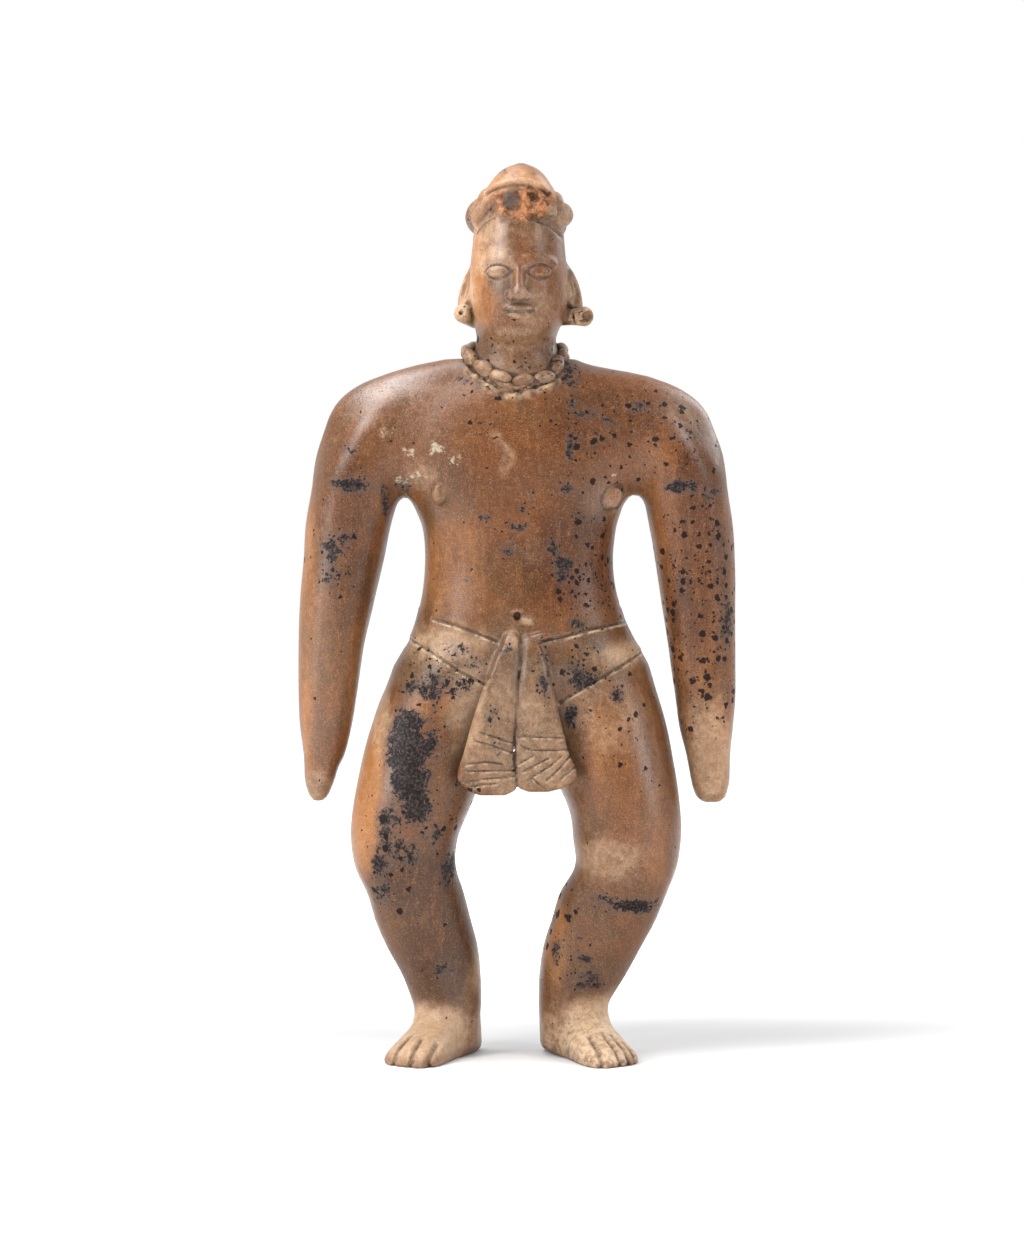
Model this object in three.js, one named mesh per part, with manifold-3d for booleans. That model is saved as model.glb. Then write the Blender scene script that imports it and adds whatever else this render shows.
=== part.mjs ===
// A standing figure of burnished clay, modelled and fired in one piece, in millimetres.
// +Z is up and the figure faces -Y. It is built round an upright line through its neck, and then moved so
// that the origin is at the middle of its footprint box, under the soles.
// "Left" and "right" in the names are the viewer's, looking at the figure's front.
import * as THREE from "three";
import { LoftGeometry } from "three/addons/geometries/LoftGeometry.js";
import { mergeVertices } from "three/addons/utils/BufferGeometryUtils.js";
import Module from "manifold-3d";

// Driving dimensions
const TO_ORIGIN = [0.12, 3.62, 0]; // from the line through the neck to the middle of the footprint box
// Nets are rows of places across, in depth and in height. Each pair is a place and the number of cells up
// to the next place. The cells are narrow where a hand passes close to a hip, and small at the feet.
const BODY_NET = [
  [[-116, 4], [-85, 5], [-66, 11], [66, 5], [85, 4], [116]],
  [[-60, 10], [43]],
  [[-40, 3], [-4, 4], [24, 10], [128, 8], [256, 4], [298, 5], [335]],
];
const HEAD_NET = [[[-35, 10], [37]], [[-42, 11], [38]], [[298, 5], [345, 12], [428]]];

// Limbs and trunk as level slices: [height, middle across, middle in depth, half width, half depth].
const TRUNK = [
  [146, 1, 1, 16, 14],
  [152, 1, 1, 36, 25],
  [165, 1.5, 1.5, 53, 32],
  [182, 1.8, 1.5, 59.4, 36],
  [195, 2.2, 0.5, 53.6, 34.5],
  [208, 1.6, -1, 48.2, 33],
  [228, 1, -1, 44.4, 30.5],
  [248, 1.2, -0.5, 45.2, 30.5],
  [262, 0.8, 0, 49.8, 31],
  [285, 1, 0, 54, 31],
  [305, 1, 1, 44, 27],
  [320, 0, 2, 28, 21],
];
const SHOULDERS = [
  [266, 1, 0, 88, 10],
  [271, 1, 0, 92, 15.5],
  [277, 1, 0, 93.6, 20],
  [285, 1.2, 0, 94, 23.4],
  [296, 1, 0.5, 91.2, 25],
  [304, 0.8, 1, 87.8, 24.5],
  [311, 0.2, 1.5, 81.8, 22.5],
  [317, -0.8, 2, 72, 20],
  [321.5, -2.6, 2, 58.5, 18],
  [325.5, -6, 2, 41.5, 16],
  [328.5, -3, 2, 30, 14],
];
const NECK = [
  [308, 0, 1, 24, 23],
  [320, 0, 1, 22, 21.8],
  [330, -0.2, 0.8, 20, 20.2],
  [338, -0.4, 0.4, 18.6, 19],
  [347, -0.2, 0, 18, 18.4],
];
const HEAD = [
  [334, 0.2, -6, 10, 13],
  [340, 0.4, -4.5, 17.2, 20.5],
  [348, 0.9, -3, 21.2, 24.5],
  [358, 1, -2, 22.9, 26.5],
  [368, 1, -1, 22.9, 27.5],
  [380, 1, 0, 21.8, 27.5],
  [390, 1, 0.5, 20.8, 26.8],
  [400, 1.2, 0.5, 19.4, 25.4],
  [406, 1.4, 0.5, 17.1, 22.4],
  [411, 1.5, 0.5, 14, 18],
  [415, 1.6, 0.5, 10.8, 13.5],
  [418.4, 1.8, 0.5, 6.8, 8.5],
  [420.6, 2, 0.5, 1.5, 2],
];
const LEFT_ARM = [
  [121, -93.4, -3, 2, 3],
  [123, -93.3, -3, 4, 5],
  [126, -93.2, -3, 5.4, 6.6],
  [131, -92.8, -3, 7, 8.6],
  [136, -92.1, -3, 7.8, 9.8],
  [143, -90.7, -2.5, 9.6, 11.5],
  [156, -90, -2, 12, 14],
  [170, -89.2, -1.5, 13.6, 15.5],
  [195, -87.2, -1, 15.6, 17.5],
  [215, -84.6, -0.5, 17.3, 19],
  [235, -81.3, 0, 18.7, 20.5],
  [250, -79.3, 0, 19.8, 21.5],
  [262, -76.8, 0, 20.6, 22.5],
  [280, -73, 0, 20.4, 24],
  [296, -66, 1, 18, 22],
  [305, -62, 1.5, 15, 19],
  [313, -57, 2, 10.5, 14],
  [318, -54, 2, 5, 8],
];
const RIGHT_ARM = [
  [120.5, 91.4, -3, 4, 5],
  [122.5, 91.3, -3, 6.4, 8],
  [126, 91.1, -3, 7.8, 9.6],
  [130, 91, -3, 8.7, 10.6],
  [143, 89.9, -2.5, 10.2, 12.2],
  [156, 88.9, -2, 12.4, 14.2],
  [170, 88.6, -1.5, 14, 16],
  [195, 86.8, -1, 15.8, 17.5],
  [215, 85.2, -0.5, 17.5, 19],
  [235, 83.7, 0, 18.9, 20.5],
  [250, 81.8, 0, 19.8, 21.5],
  [262, 79.7, 0, 20.2, 22.5],
  [280, 75.5, 0, 20.4, 24],
  [296, 68, 1, 18, 22],
  [305, 64, 1.5, 15, 19],
  [313, 59, 2, 10.5, 14],
  [318, 56, 2, 5, 8],
];
const LEFT_LEG = [
  [4, -31.6, 9, 13.8, 16],
  [18, -32.4, 8, 14.8, 17],
  [24, -33.1, 7.5, 16.2, 17.5],
  [37, -35.6, 5.5, 18.6, 19.5],
  [51, -39.8, 3, 21.4, 21.5],
  [64, -44.1, 1, 22.6, 23],
  [77, -47.6, -1.5, 22.8, 23.5],
  [90, -52.4, -4.5, 23.7, 24.5],
  [103, -52.9, -5, 25, 26],
  [116, -50.2, -4, 27.2, 28],
  [135, -44.4, -2, 29.6, 30],
  [155, -38, 0, 30.8, 31],
  [175, -31.4, 1.5, 29.8, 31.5],
  [190, -26, 2, 25, 29],
];
const RIGHT_LEG = [
  [4, 26, 9, 14.2, 16],
  [18, 26.2, 8, 15.6, 17],
  [24, 26.8, 7.5, 16.6, 17.5],
  [37, 30.6, 5.5, 20.3, 19.5],
  [51, 35.4, 3, 23, 21.5],
  [64, 40.6, 1, 24.4, 23],
  [77, 45.4, -1.5, 25, 23.5],
  [90, 51.3, -4.5, 23.8, 24.5],
  [103, 51.8, -5, 25.2, 26],
  [116, 50.8, -4, 26, 28],
  [135, 45.5, -2, 28.8, 30],
  [155, 39.8, 0, 30.6, 31],
  [175, 34.2, 1.5, 30.4, 31.5],
  [190, 29, 2, 26.6, 29],
];
// A foot's slices run from heel to toes: [distance from the heel's middle, shift outwards, height of the
// middle, half width, half height]. The half below the ground is cut away.
const FOOT = [
  [-14, 0, 0, 5, 9],
  [-11, 0, 0, 9, 16],
  [-4, 0, 0, 12.4, 23],
  [8, 0, 0, 13.6, 24],
  [20, 0, 0, 13.8, 20],
  [31, 0, 0, 14.6, 15.8],
  [41, 0, 0, 15.2, 12],
  [50, 0, 0, 15, 9],
  [56, 0, 0, 13.6, 7],
  [60, 0, 0, 11, 4.5],
  [62.5, 0, 0, 7, 2],
];
const LEFT_FOOT = { heel: [-31.6, 17, 0], turn: -20.5, skew: 0.36 }; // turn is in degrees from straight ahead
const RIGHT_FOOT = { heel: [26.5, 17, 0], turn: 20, skew: 0.4 };

// How softly each pair of shapes runs together.
const FILLETS = { shoulders: 9, arms: 7, feet: 8, crotch: 3, hips: 7, neck: 5 };
// How boxy the slices of each shape are: 2 is an ellipse, and more is squarer.
const SQUARE = { trunk: 2.3, neck: 2, head: 2.2, limbs: 2.2, feet: 2.6 };

// Headdress: a roll of two twisted strands round the cap. Angles are in degrees round from the front.
const ROLL = {
  middle: [1, 0.5, 395.8],
  halfWidth: 17,
  halfDepth: 23.4,
  rise: 3.6,
  lean: 0.45,
  strand: 4.6,
  wrap: 3.8,
  twists: 4,
  phase: 0.4,
  from: 24,
  span: 320,
};
// Lumps are [middle, half sizes, turn about x, y and z in degrees]. These are where the front broke off.
const SCAR = [
  [[3, -21, 401], [15.5, 7.4, 8.5]],
  [[10, -21.5, 398.5], [8.5, 7, 6], [0, 20, 0]],
  [[-5, -22.5, 398], [6, 5.5, 5.5]],
];

// Face: heights of its features, and how far the two of a pair stand from the middle.
const FACE = { middle: 1, eyes: 368, eyeGap: 9.4, nostrilGap: 3.3, noseBase: 356.5, mouth: 350.4 };
const NOSE_RIDGE = [[-23, 377], [-26, 370], [-28, 363], [-29, 358.3], [-25, 355.5]]; // depth and height
const NOSE = { bridge: 2.4, swell: 1.5 };
const NOSTRIL = { depth: -26.5, rise: 1, halves: [2.3, 2.6, 2.2] };
const EYE = { halves: [5, 1.7, 2.1], sunk: 1, turn: 16 };
const LID = { halfLength: 6, arch: 3.1, radius: 0.75 };
const LIPS = [
  { rise: 1.2, sunk: 0.7, halves: [6.2, 2.2, 1.8] },
  { rise: -1.5, sunk: 0.9, halves: [5.4, 2.2, 1.8] },
];
const MOUTH_LINE = { halfLength: 6.8, radius: 0.8, out: 1 };
const CHIN = [[1, -19.6, 342.4], [7.5, 5.4, 4.6]];

// Ears, and the spools and holes through their lobes. A path is followed by its radius at each end.
const EARS = [
  [[-22.6, 3, 360], [4.2, 3.4, 13], [0, 15, 0]],
  [[25.4, 3, 360], [4.4, 3.4, 13.5], [0, -15, 0]],
];
const SPOOLS = [
  { path: [[-19.5, 6, 347], [-22.5, 0, 348.4], [-25, -6, 349.6]], radii: [4.4, 4.4] },
  { path: [[19, -2, 347], [26, -3, 348], [31.8, -3.6, 348.3]], radii: [3, 4.3] },
];
const LOBE_HOLES = [
  { path: [[-24, -4, 349.2], [-25, -6, 349.6], [-26, -8, 350]], radii: [1.2, 1.2] },
  { path: [[27, -12, 356], [27, 4, 356], [27, 16, 356]], radii: [1.4, 1.4] },
];

// Necklace: long beads on a sagging ring.
const NECKLACE = [
  [2.8, -24, 318],
  [14, -20, 320.2],
  [19.8, -10.8, 327.2],
  [21, 2, 331.4],
  [16, 14.4, 334.4],
  [3, 21.2, 335.6],
  [-13, 17.4, 335],
  [-21.8, 8, 333],
  [-22.9, -7, 330.2],
  [-17.3, -17, 325],
  [-8.1, -22.5, 320.2],
];
const BEAD = { count: 14, halves: [3.6, 5.8, 3.6] };

// Chest and belly: each stands on the skin at [x, z], pushed in by sunk.
const NIPPLES = [
  { at: [-33, 264.6], sunk: 0.5, halves: [4.4, 5, 5.8], turn: [0, 8, 0] },
  { at: [44.8, 264.8], sunk: 0.5, halves: [4.2, 5, 5.6], turn: [0, -8, 0] },
];
const NAVEL_BUMP = { at: [3.8, 208], sunk: 0.6, halves: [3.8, 2, 3.4] };
const NAVEL = { at: [0, 209.6], sunk: 0.4, halves: [2.1, 3.4, 2.1] };

// Loincloth: a belt between drawn lines, and two flaps that hang from it side by side. Lines run from [x, z]
// to [x, z] as seen from the front. A flap's slices go from hem to top: [height, left edge, right edge,
// front, thickness].
const BELT_LINES = [
  [[-39, 207.6], [-9, 197.2]],
  [[12, 198], [46, 205]],
  [[-50, 198], [-15, 177.6]],
  [[19.6, 169.4], [56.2, 191]],
];
const LEFT_FLAP = [
  [125.8, -18, -5, -34.6, 4],
  [128.6, -23.4, -0.6, -36.2, 6],
  [134, -27.6, -0.6, -37.4, 7],
  [147, -24.4, -1.8, -39.2, 7.4],
  [163, -20, -0.4, -41, 8],
  [178, -14.8, 0.2, -41.4, 8.6],
  [190, -10.4, 1.4, -40, 8.6],
  [198, -6, 1.2, -37.6, 7.6],
  [202.4, -4, 0.6, -34.6, 5],
];
const RIGHT_FLAP = [
  [127.4, 5, 15, -34.6, 4],
  [129.4, 0.8, 22, -36.2, 6],
  [134.8, 0, 27.6, -37.4, 7],
  [147, -0.8, 23.6, -39, 7.4],
  [163, 0, 19.6, -40.8, 8],
  [178, 0.6, 16.2, -41, 8.6],
  [190, 2, 13.2, -39.6, 8.6],
  [197, 1.8, 10.4, -37.4, 7.6],
  [201, 2, 7.4, -34.6, 5],
];
const FLAP = { sides: 10, squareAcross: 0.55, squareDeep: 0.7 };
// Borders first, then the hatching that leans right.
const HEM_LINES = [
  [[-17, 155.5], [-2.6, 150.6]],
  [[-19.2, 151.5], [-2.6, 146]],
  [[-23.6, 140.8], [-6.5, 140.6]],
  [[-23.3, 137.4], [-1.8, 137.5]],
  [[-23.4, 132.4], [-1.4, 134.8]],
  [[0.9, 153.2], [20.2, 152.9]],
  [[3, 148.4], [22.4, 147.2]],
  [[1, 140.7], [7.7, 144.6]],
  [[2.8, 137], [15.3, 143.8]],
  [[5.3, 133.4], [20.4, 144.4]],
  [[13.7, 132.9], [23.6, 143.4]],
];
const LINE_RADIUS = { belt: 1.2, hem: 0.75, toe: 1.1 };
const HEM_LINE_OUT = 0.15;

// Toes: notches drawn back over the front of each foot, as [x, y] of the front end and of the inner end.
const TOE_LINES = [
  [[-57, -37], [-50, -19]],
  [[-49.8, -45], [-44.2, -26]],
  [[-42, -48], [-37.6, -29]],
  [[40, -50], [34.2, -25]],
  [[48.6, -43.5], [40.2, -20]],
  [[53.4, -39.5], [44.6, -19]],
  [[56, -37], [49.6, -21]],
];
const TOE_LINE = { below: -2, fade: 0.4, stations: [0.15, 0.4, 0.7, 1] };

// A smooth curve through the rows of a slice table: gives the four sizes at any distance along it.
function sliceCurve(rows) {
  const slope = (i) => {
    const a = rows[Math.max(i - 1, 0)];
    const b = rows[Math.min(i + 1, rows.length - 1)];
    return a.map((value, n) => (b[n] - value) / (b[0] - a[0]));
  };
  const slopes = rows.map((_, i) => slope(i));
  return (t) => {
    let i = 0;
    while (i < rows.length - 2 && t > rows[i + 1][0]) i++;
    const [a, b] = [rows[i], rows[i + 1]];
    const span = b[0] - a[0];
    const s = THREE.MathUtils.clamp((t - a[0]) / span, 0, 1);
    const blend = s * s * (3 - 2 * s);
    const out = s * (1 - s) * (1 - s) * span;
    const into = -s * s * (1 - s) * span;
    return [1, 2, 3, 4].map(
      (n) => a[n] + (b[n] - a[n]) * blend + slopes[i][n] * out + slopes[i + 1][n] * into,
    );
  };
}

// Roughly how far a point is from a limb made of slices, less than zero inside.
function limb(rows, square) {
  const sizesAt = sliceCurve(rows);
  const low = rows[0][0];
  const high = rows[rows.length - 1][0];
  return (across, depth, along) => {
    const t = THREE.MathUtils.clamp(along, low, high);
    const [x, y, halfX, halfY] = sizesAt(t);
    const u = Math.abs(across - x) / halfX;
    const v = Math.abs(depth - y) / halfY;
    const reach = Math.max((u ** square + v ** square) ** (1 / square), 1e-3);
    const steep = reach ** (1 - square) * Math.hypot(u ** (square - 1) / halfX, v ** (square - 1) / halfY);
    const side = (reach - 1) / Math.max(steep, 1e-6);
    const end = Math.max(low - along, along - high);
    return Math.min(Math.max(side, end), 0) + Math.hypot(Math.max(side, 0), Math.max(end, 0));
  };
}

// A foot lies along the ground: its slices stand upright across its own turned axis.
function foot({ heel, turn, skew }) {
  const shape = limb(FOOT, SQUARE.feet);
  const angle = THREE.MathUtils.degToRad(turn);
  const outwards = Math.sign(turn);
  return (x, y, z) => {
    const dx = x - heel[0];
    const dy = y - heel[1];
    const along = dx * Math.sin(angle) - dy * Math.cos(angle);
    const across = (dx * Math.cos(angle) + dy * Math.sin(angle)) * outwards;
    return shape(across, z, along + skew * across * THREE.MathUtils.smoothstep(along, 10, 50));
  };
}

// The nearer of two distances, with the corner between them filled over about the given width.
function join(a, b, fillet) {
  const h = Math.max(fillet - Math.abs(a - b), 0) / fillet;
  return Math.min(a, b) - (h * h * fillet) / 4;
}

const trunk = limb(TRUNK, SQUARE.trunk);
const shoulders = limb(SHOULDERS, SQUARE.trunk);
const neck = limb(NECK, SQUARE.neck);
const head = limb(HEAD, SQUARE.head);
const arms = [LEFT_ARM, RIGHT_ARM].map((rows) => limb(rows, SQUARE.limbs));
const legs = [LEFT_LEG, RIGHT_LEG].map((rows) => limb(rows, SQUARE.limbs));
const feet = [foot(LEFT_FOOT), foot(RIGHT_FOOT)];

// Distance to the bare body up to the shoulders, before anything is added to it.
function bodySkin(x, y, z) {
  let upper = join(trunk(x, y, z), shoulders(x, y, z), FILLETS.shoulders);
  for (const arm of arms) upper = join(upper, arm(x, y, z), FILLETS.arms);
  const [left, right] = legs.map((leg, side) => join(leg(x, y, z), feet[side](x, y, z), FILLETS.feet));
  return join(upper, join(left, right, FILLETS.crotch), FILLETS.hips);
}

// Distance to the bare head and neck.
const headSkin = (x, y, z) => join(neck(x, y, z), head(x, y, z), FILLETS.neck);

// Even places between the stops of a net's row.
const ticks = (row) =>
  row.flatMap(([place, cells], n) =>
    cells ? Array.from({ length: cells }, (_, i) => place + ((row[n + 1][0] - place) * i) / cells) : [place],
  );

// The steepest way out of a distance field at a point.
function outward(field, p) {
  const h = 0.2;
  return new THREE.Vector3(
    field(p.x + h, p.y, p.z) - field(p.x - h, p.y, p.z),
    field(p.x, p.y + h, p.z) - field(p.x, p.y - h, p.z),
    field(p.x, p.y, p.z + h) - field(p.x, p.y, p.z - h),
  ).divideScalar(2 * h);
}

// Moves a point along the field's slope until it lies on the surface.
function settle(field, p) {
  for (let turn = 0; turn < 4; turn++) {
    const way = outward(field, p);
    p.addScaledVector(way, -field(p.x, p.y, p.z) / Math.max(way.lengthSq(), 0.05));
  }
  return p;
}

// Covers the surface of a distance field with a net of triangles, one knot in each cell that it crosses.
function netOver(field, net) {
  const [xs, ys, zs] = net.map(ticks);
  const size = [xs.length, ys.length, zs.length];
  const at = (i, j, k) => (i * size[1] + j) * size[2] + k;
  const values = new Float64Array(size[0] * size[1] * size[2]);
  xs.forEach((x, i) => ys.forEach((y, j) => zs.forEach((z, k) => (values[at(i, j, k)] = field(x, y, z)))));

  const corners = [0, 1, 2, 3, 4, 5, 6, 7].map((n) => [n & 1, (n >> 1) & 1, (n >> 2) & 1]);
  const knots = [];
  const knotOf = new Map();
  for (let i = 0; i < size[0] - 1; i++)
    for (let j = 0; j < size[1] - 1; j++)
      for (let k = 0; k < size[2] - 1; k++) {
        const sum = new THREE.Vector3();
        let crossings = 0;
        corners.forEach((a, n) => {
          corners.slice(n + 1).forEach((b) => {
            if (Math.abs(a[0] - b[0]) + Math.abs(a[1] - b[1]) + Math.abs(a[2] - b[2]) !== 1) return;
            const from = values[at(i + a[0], j + a[1], k + a[2])];
            const to = values[at(i + b[0], j + b[1], k + b[2])];
            if (from < 0 === to < 0) return;
            const start = new THREE.Vector3(xs[i + a[0]], ys[j + a[1]], zs[k + a[2]]);
            const end = new THREE.Vector3(xs[i + b[0]], ys[j + b[1]], zs[k + b[2]]);
            sum.add(start.lerp(end, from / (from - to)));
            crossings++;
          });
        });
        if (!crossings) continue;
        knotOf.set(at(i, j, k), knots.length);
        knots.push(settle(field, sum.divideScalar(crossings)));
      }

  const faces = [];
  const step = [[1, 0, 0], [0, 1, 0], [0, 0, 1]];
  for (let i = 1; i < size[0] - 1; i++)
    for (let j = 1; j < size[1] - 1; j++)
      for (let k = 1; k < size[2] - 1; k++)
        step.forEach(([di, dj, dk], n) => {
          const here = values[at(i, j, k)] < 0;
          if (here === values[at(i + di, j + dj, k + dk)] < 0) return;
          const [p, q] = [step[(n + 1) % 3], step[(n + 2) % 3]];
          const ring = [[0, 0], [1, 0], [1, 1], [0, 1]].map(([a, b]) =>
            knotOf.get(at(i - a * p[0] - b * q[0], j - a * p[1] - b * q[1], k - a * p[2] - b * q[2])),
          );
          if (!here) ring.reverse();
          const [a, b, c, d] = ring;
          const shorter = knots[a].distanceTo(knots[c]) < knots[b].distanceTo(knots[d]);
          faces.push(...(shorter ? [a, b, c, a, c, d] : [b, c, d, b, d, a]));
        });
  const geometry = new THREE.BufferGeometry().setFromPoints(knots);
  geometry.setIndex(faces);
  return geometry;
}

const wasm = await Module();
wasm.setup();

// A closed three.js geometry as a solid that can be joined and cut.
function solid(geometry) {
  const bare = new THREE.BufferGeometry().setAttribute("position", geometry.attributes.position);
  const merged = mergeVertices(bare.setIndex(geometry.index), 1e-3);
  return new wasm.Manifold(
    new wasm.Mesh({
      numProp: 3,
      vertProperties: new Float32Array(merged.attributes.position.array),
      triVerts: new Uint32Array(merged.index.array),
    }),
  );
}

function toGeometry(body) {
  const mesh = body.getMesh();
  const geometry = new THREE.BufferGeometry();
  geometry.setAttribute("position", new THREE.BufferAttribute(mesh.vertProperties, 3));
  geometry.setIndex(new THREE.BufferAttribute(mesh.triVerts, 1));
  return geometry;
}

// All the bodies in the list as one.
const joined = (bodies) => wasm.Manifold.union(bodies);

// An egg of clay: half sizes along its own axes, and how it is turned about x, y and z in degrees.
function lump(middle, halves, turn = [0, 0, 0]) {
  const turned = new THREE.Euler(...turn.map(THREE.MathUtils.degToRad));
  const place = new THREE.Matrix4().compose(
    new THREE.Vector3(...middle),
    new THREE.Quaternion().setFromEuler(turned),
    new THREE.Vector3(...halves),
  );
  return solid(new THREE.IcosahedronGeometry(1, 1).applyMatrix4(place));
}

// A rod along a smooth curve through the points. radiusAt gives its radius from 0 to 1 along it.
function rod(points, radiusAt, sides, steps) {
  const path = new THREE.CatmullRomCurve3(points.map((p) => new THREE.Vector3(...p)));
  const { normals, binormals } = path.computeFrenetFrames(steps);
  const sections = normals.map((normal, i) => {
    const middle = path.getPointAt(i / steps);
    const radius = radiusAt(i / steps);
    return Array.from({ length: sides }, (_, n) => {
      const angle = (n / sides) * Math.PI * 2;
      return middle
        .clone()
        .addScaledVector(normal, radius * Math.cos(angle))
        .addScaledVector(binormals[i], radius * Math.sin(angle));
    });
  });
  return solid(new LoftGeometry(sections, { capStart: true, capEnd: true }));
}

// Halves the gap between a point outside a surface and one inside it until they meet.
function crossing(outside, inside, isInside) {
  for (let turn = 0; turn < 24; turn++) {
    const middle = (outside + inside) / 2;
    if (isInside(middle)) inside = middle;
    else outside = middle;
  }
  return inside;
}

// Where a line of sight from the front, or from above, meets the skin.
const frontOf = (field, x, z) => crossing(-60, 0, (y) => field(x, y, z) < 0);
const topOf = (field, x, y) => crossing(40, 0, (z) => field(x, y, z) < 0);

// A square-edged groove of even width along the points.
const groove = (points, radius, steps) => rod(points, () => radius, 4, steps);

// A line drawn in the soft clay between two points seen from the front, given as [x, z].
function scratch(field, from, to, radius, steps) {
  const points = Array.from({ length: steps + 1 }, (_, i) => {
    const x = THREE.MathUtils.lerp(from[0], to[0], i / steps);
    const z = THREE.MathUtils.lerp(from[1], to[1], i / steps);
    return [x, frontOf(field, x, z) + radius / 3, z];
  });
  return groove(points, radius, steps);
}

// A lump on the skin where a line of sight from the front meets it.
const pellet = ({ at: [x, z], sunk, halves, turn }) =>
  lump([x, frontOf(bodySkin, x, z) + sunk, z], halves, turn);

// Headdress
function rollStrand(phase) {
  const stations = 60;
  const points = Array.from({ length: stations + 1 }, (_, i) => {
    const round = THREE.MathUtils.degToRad(ROLL.from + (ROLL.span * i) / stations);
    const twist = phase + ROLL.twists * round;
    const up = ROLL.wrap * Math.sin(twist);
    const out = ROLL.wrap * Math.cos(twist) - ROLL.lean * up;
    return [
      ROLL.middle[0] + Math.sin(round) * (ROLL.halfWidth + out),
      ROLL.middle[1] - Math.cos(round) * (ROLL.halfDepth + out),
      ROLL.middle[2] + ROLL.rise * Math.cos(round) + up,
    ];
  });
  const taper = (s) => ROLL.strand * Math.min(1, 0.55 + 6 * Math.min(s, 1 - s));
  return rod(points, taper, 6, 26);
}
const strands = [0, Math.PI].map((shift) => rollStrand(ROLL.phase + shift));
const headdress = [...strands, ...SCAR.map((row) => lump(...row))];

// Face: raised nose, eyes and lips, each outlined by a line.
const sides = [-1, 1];
const nose = rod(
  NOSE_RIDGE.map(([y, z]) => [FACE.middle, y, z]),
  (s) => NOSE.bridge + NOSE.swell * THREE.MathUtils.smoothstep(s, 0.2, 0.8),
  8,
  8,
);
const eyes = sides.map((side) => {
  const front = frontOf(headSkin, side * FACE.eyeGap, FACE.eyes);
  const middle = [FACE.middle + side * FACE.eyeGap, front + EYE.sunk, FACE.eyes];
  return lump(middle, EYE.halves, [0, 0, side * EYE.turn]);
});
const nostrils = sides.map((side) =>
  lump([FACE.middle + side * FACE.nostrilGap, NOSTRIL.depth, FACE.noseBase + NOSTRIL.rise], NOSTRIL.halves),
);
const lips = LIPS.map(({ rise, sunk, halves }) =>
  lump([FACE.middle, frontOf(headSkin, FACE.middle, FACE.mouth) + sunk, FACE.mouth + rise], halves),
);
const lids = sides.flatMap((side) =>
  [1, -1].map((above) => {
    const points = [-1, -0.5, 0, 0.5, 1].map((along) => {
      const x = FACE.middle + side * FACE.eyeGap + along * LID.halfLength;
      const z = FACE.eyes + above * LID.arch * (1 - along * along);
      return [x, frontOf(headSkin, x, z), z];
    });
    return groove(points, LID.radius, 4);
  }),
);
const mouthPoints = [-1, 0, 1].map((along) => {
  const x = FACE.middle + along * MOUTH_LINE.halfLength;
  return [x, frontOf(headSkin, x, FACE.mouth) - MOUTH_LINE.out, FACE.mouth];
});
const mouthLine = groove(mouthPoints, MOUTH_LINE.radius, 4);

// Ears and what goes through their lobes
const ears = EARS.map((row) => lump(...row));
const tapered = ({ path, radii }, rodSides, steps) =>
  rod(path, (s) => THREE.MathUtils.lerp(radii[0], radii[1], s), rodSides, steps);
const spools = SPOOLS.map((row) => tapered(row, 8, 2));
const lobeHoles = LOBE_HOLES.map((row) => tapered(row, 6, 2));

// Necklace
const beadRing = new THREE.CatmullRomCurve3(NECKLACE.map((p) => new THREE.Vector3(...p)), true);
const beads = Array.from({ length: BEAD.count }, (_, n) => {
  const way = beadRing.getTangentAt(n / BEAD.count);
  const place = new THREE.Matrix4().compose(
    beadRing.getPointAt(n / BEAD.count),
    new THREE.Quaternion().setFromUnitVectors(new THREE.Vector3(0, 1, 0), way),
    new THREE.Vector3(...BEAD.halves),
  );
  return solid(new THREE.SphereGeometry(1, 6, 4).applyMatrix4(place));
});

// Loincloth
const beltLines = BELT_LINES.map(([from, to]) => scratch(bodySkin, from, to, LINE_RADIUS.belt, 3));
function flap(rows) {
  const sections = rows.map(([z, left, right, front, thick]) =>
    Array.from({ length: FLAP.sides }, (_, n) => {
      const angle = ((n + 0.5) / FLAP.sides) * Math.PI * 2;
      const [c, s] = [Math.cos(angle), Math.sin(angle)];
      const across = Math.sign(c) * Math.abs(c) ** FLAP.squareAcross;
      const deep = Math.sign(s) * Math.abs(s) ** FLAP.squareDeep;
      return new THREE.Vector3(
        (left + right + across * (right - left)) / 2,
        front + ((1 + deep) * thick) / 2,
        z,
      );
    }),
  );
  return solid(new LoftGeometry(sections, { capStart: true, capEnd: true }));
}
function flapFront(x, z) {
  const rows = x < 0 ? LEFT_FLAP : RIGHT_FLAP;
  const at = rows.findIndex((row) => row[0] > z);
  const [below, above] = [rows[at - 1], rows[at]];
  return THREE.MathUtils.mapLinear(z, below[0], above[0], below[3], above[3]);
}
const hemLines = HEM_LINES.map((ends) => {
  const points = ends.map(([x, z]) => [x, flapFront(x, z) + HEM_LINE_OUT, z]);
  return groove(points, LINE_RADIUS.hem, 1);
});

// Toes
const toeLines = TOE_LINES.map(([front, back]) => {
  const points = TOE_LINE.stations.map((s) => {
    const [x, y] = [0, 1].map((n) => THREE.MathUtils.lerp(front[n], back[n], s));
    return [x, y, topOf(bodySkin, x, y) + TOE_LINE.fade * s];
  });
  return groove([[...front, TOE_LINE.below], ...points], LINE_RADIUS.toe, 4);
});

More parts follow.
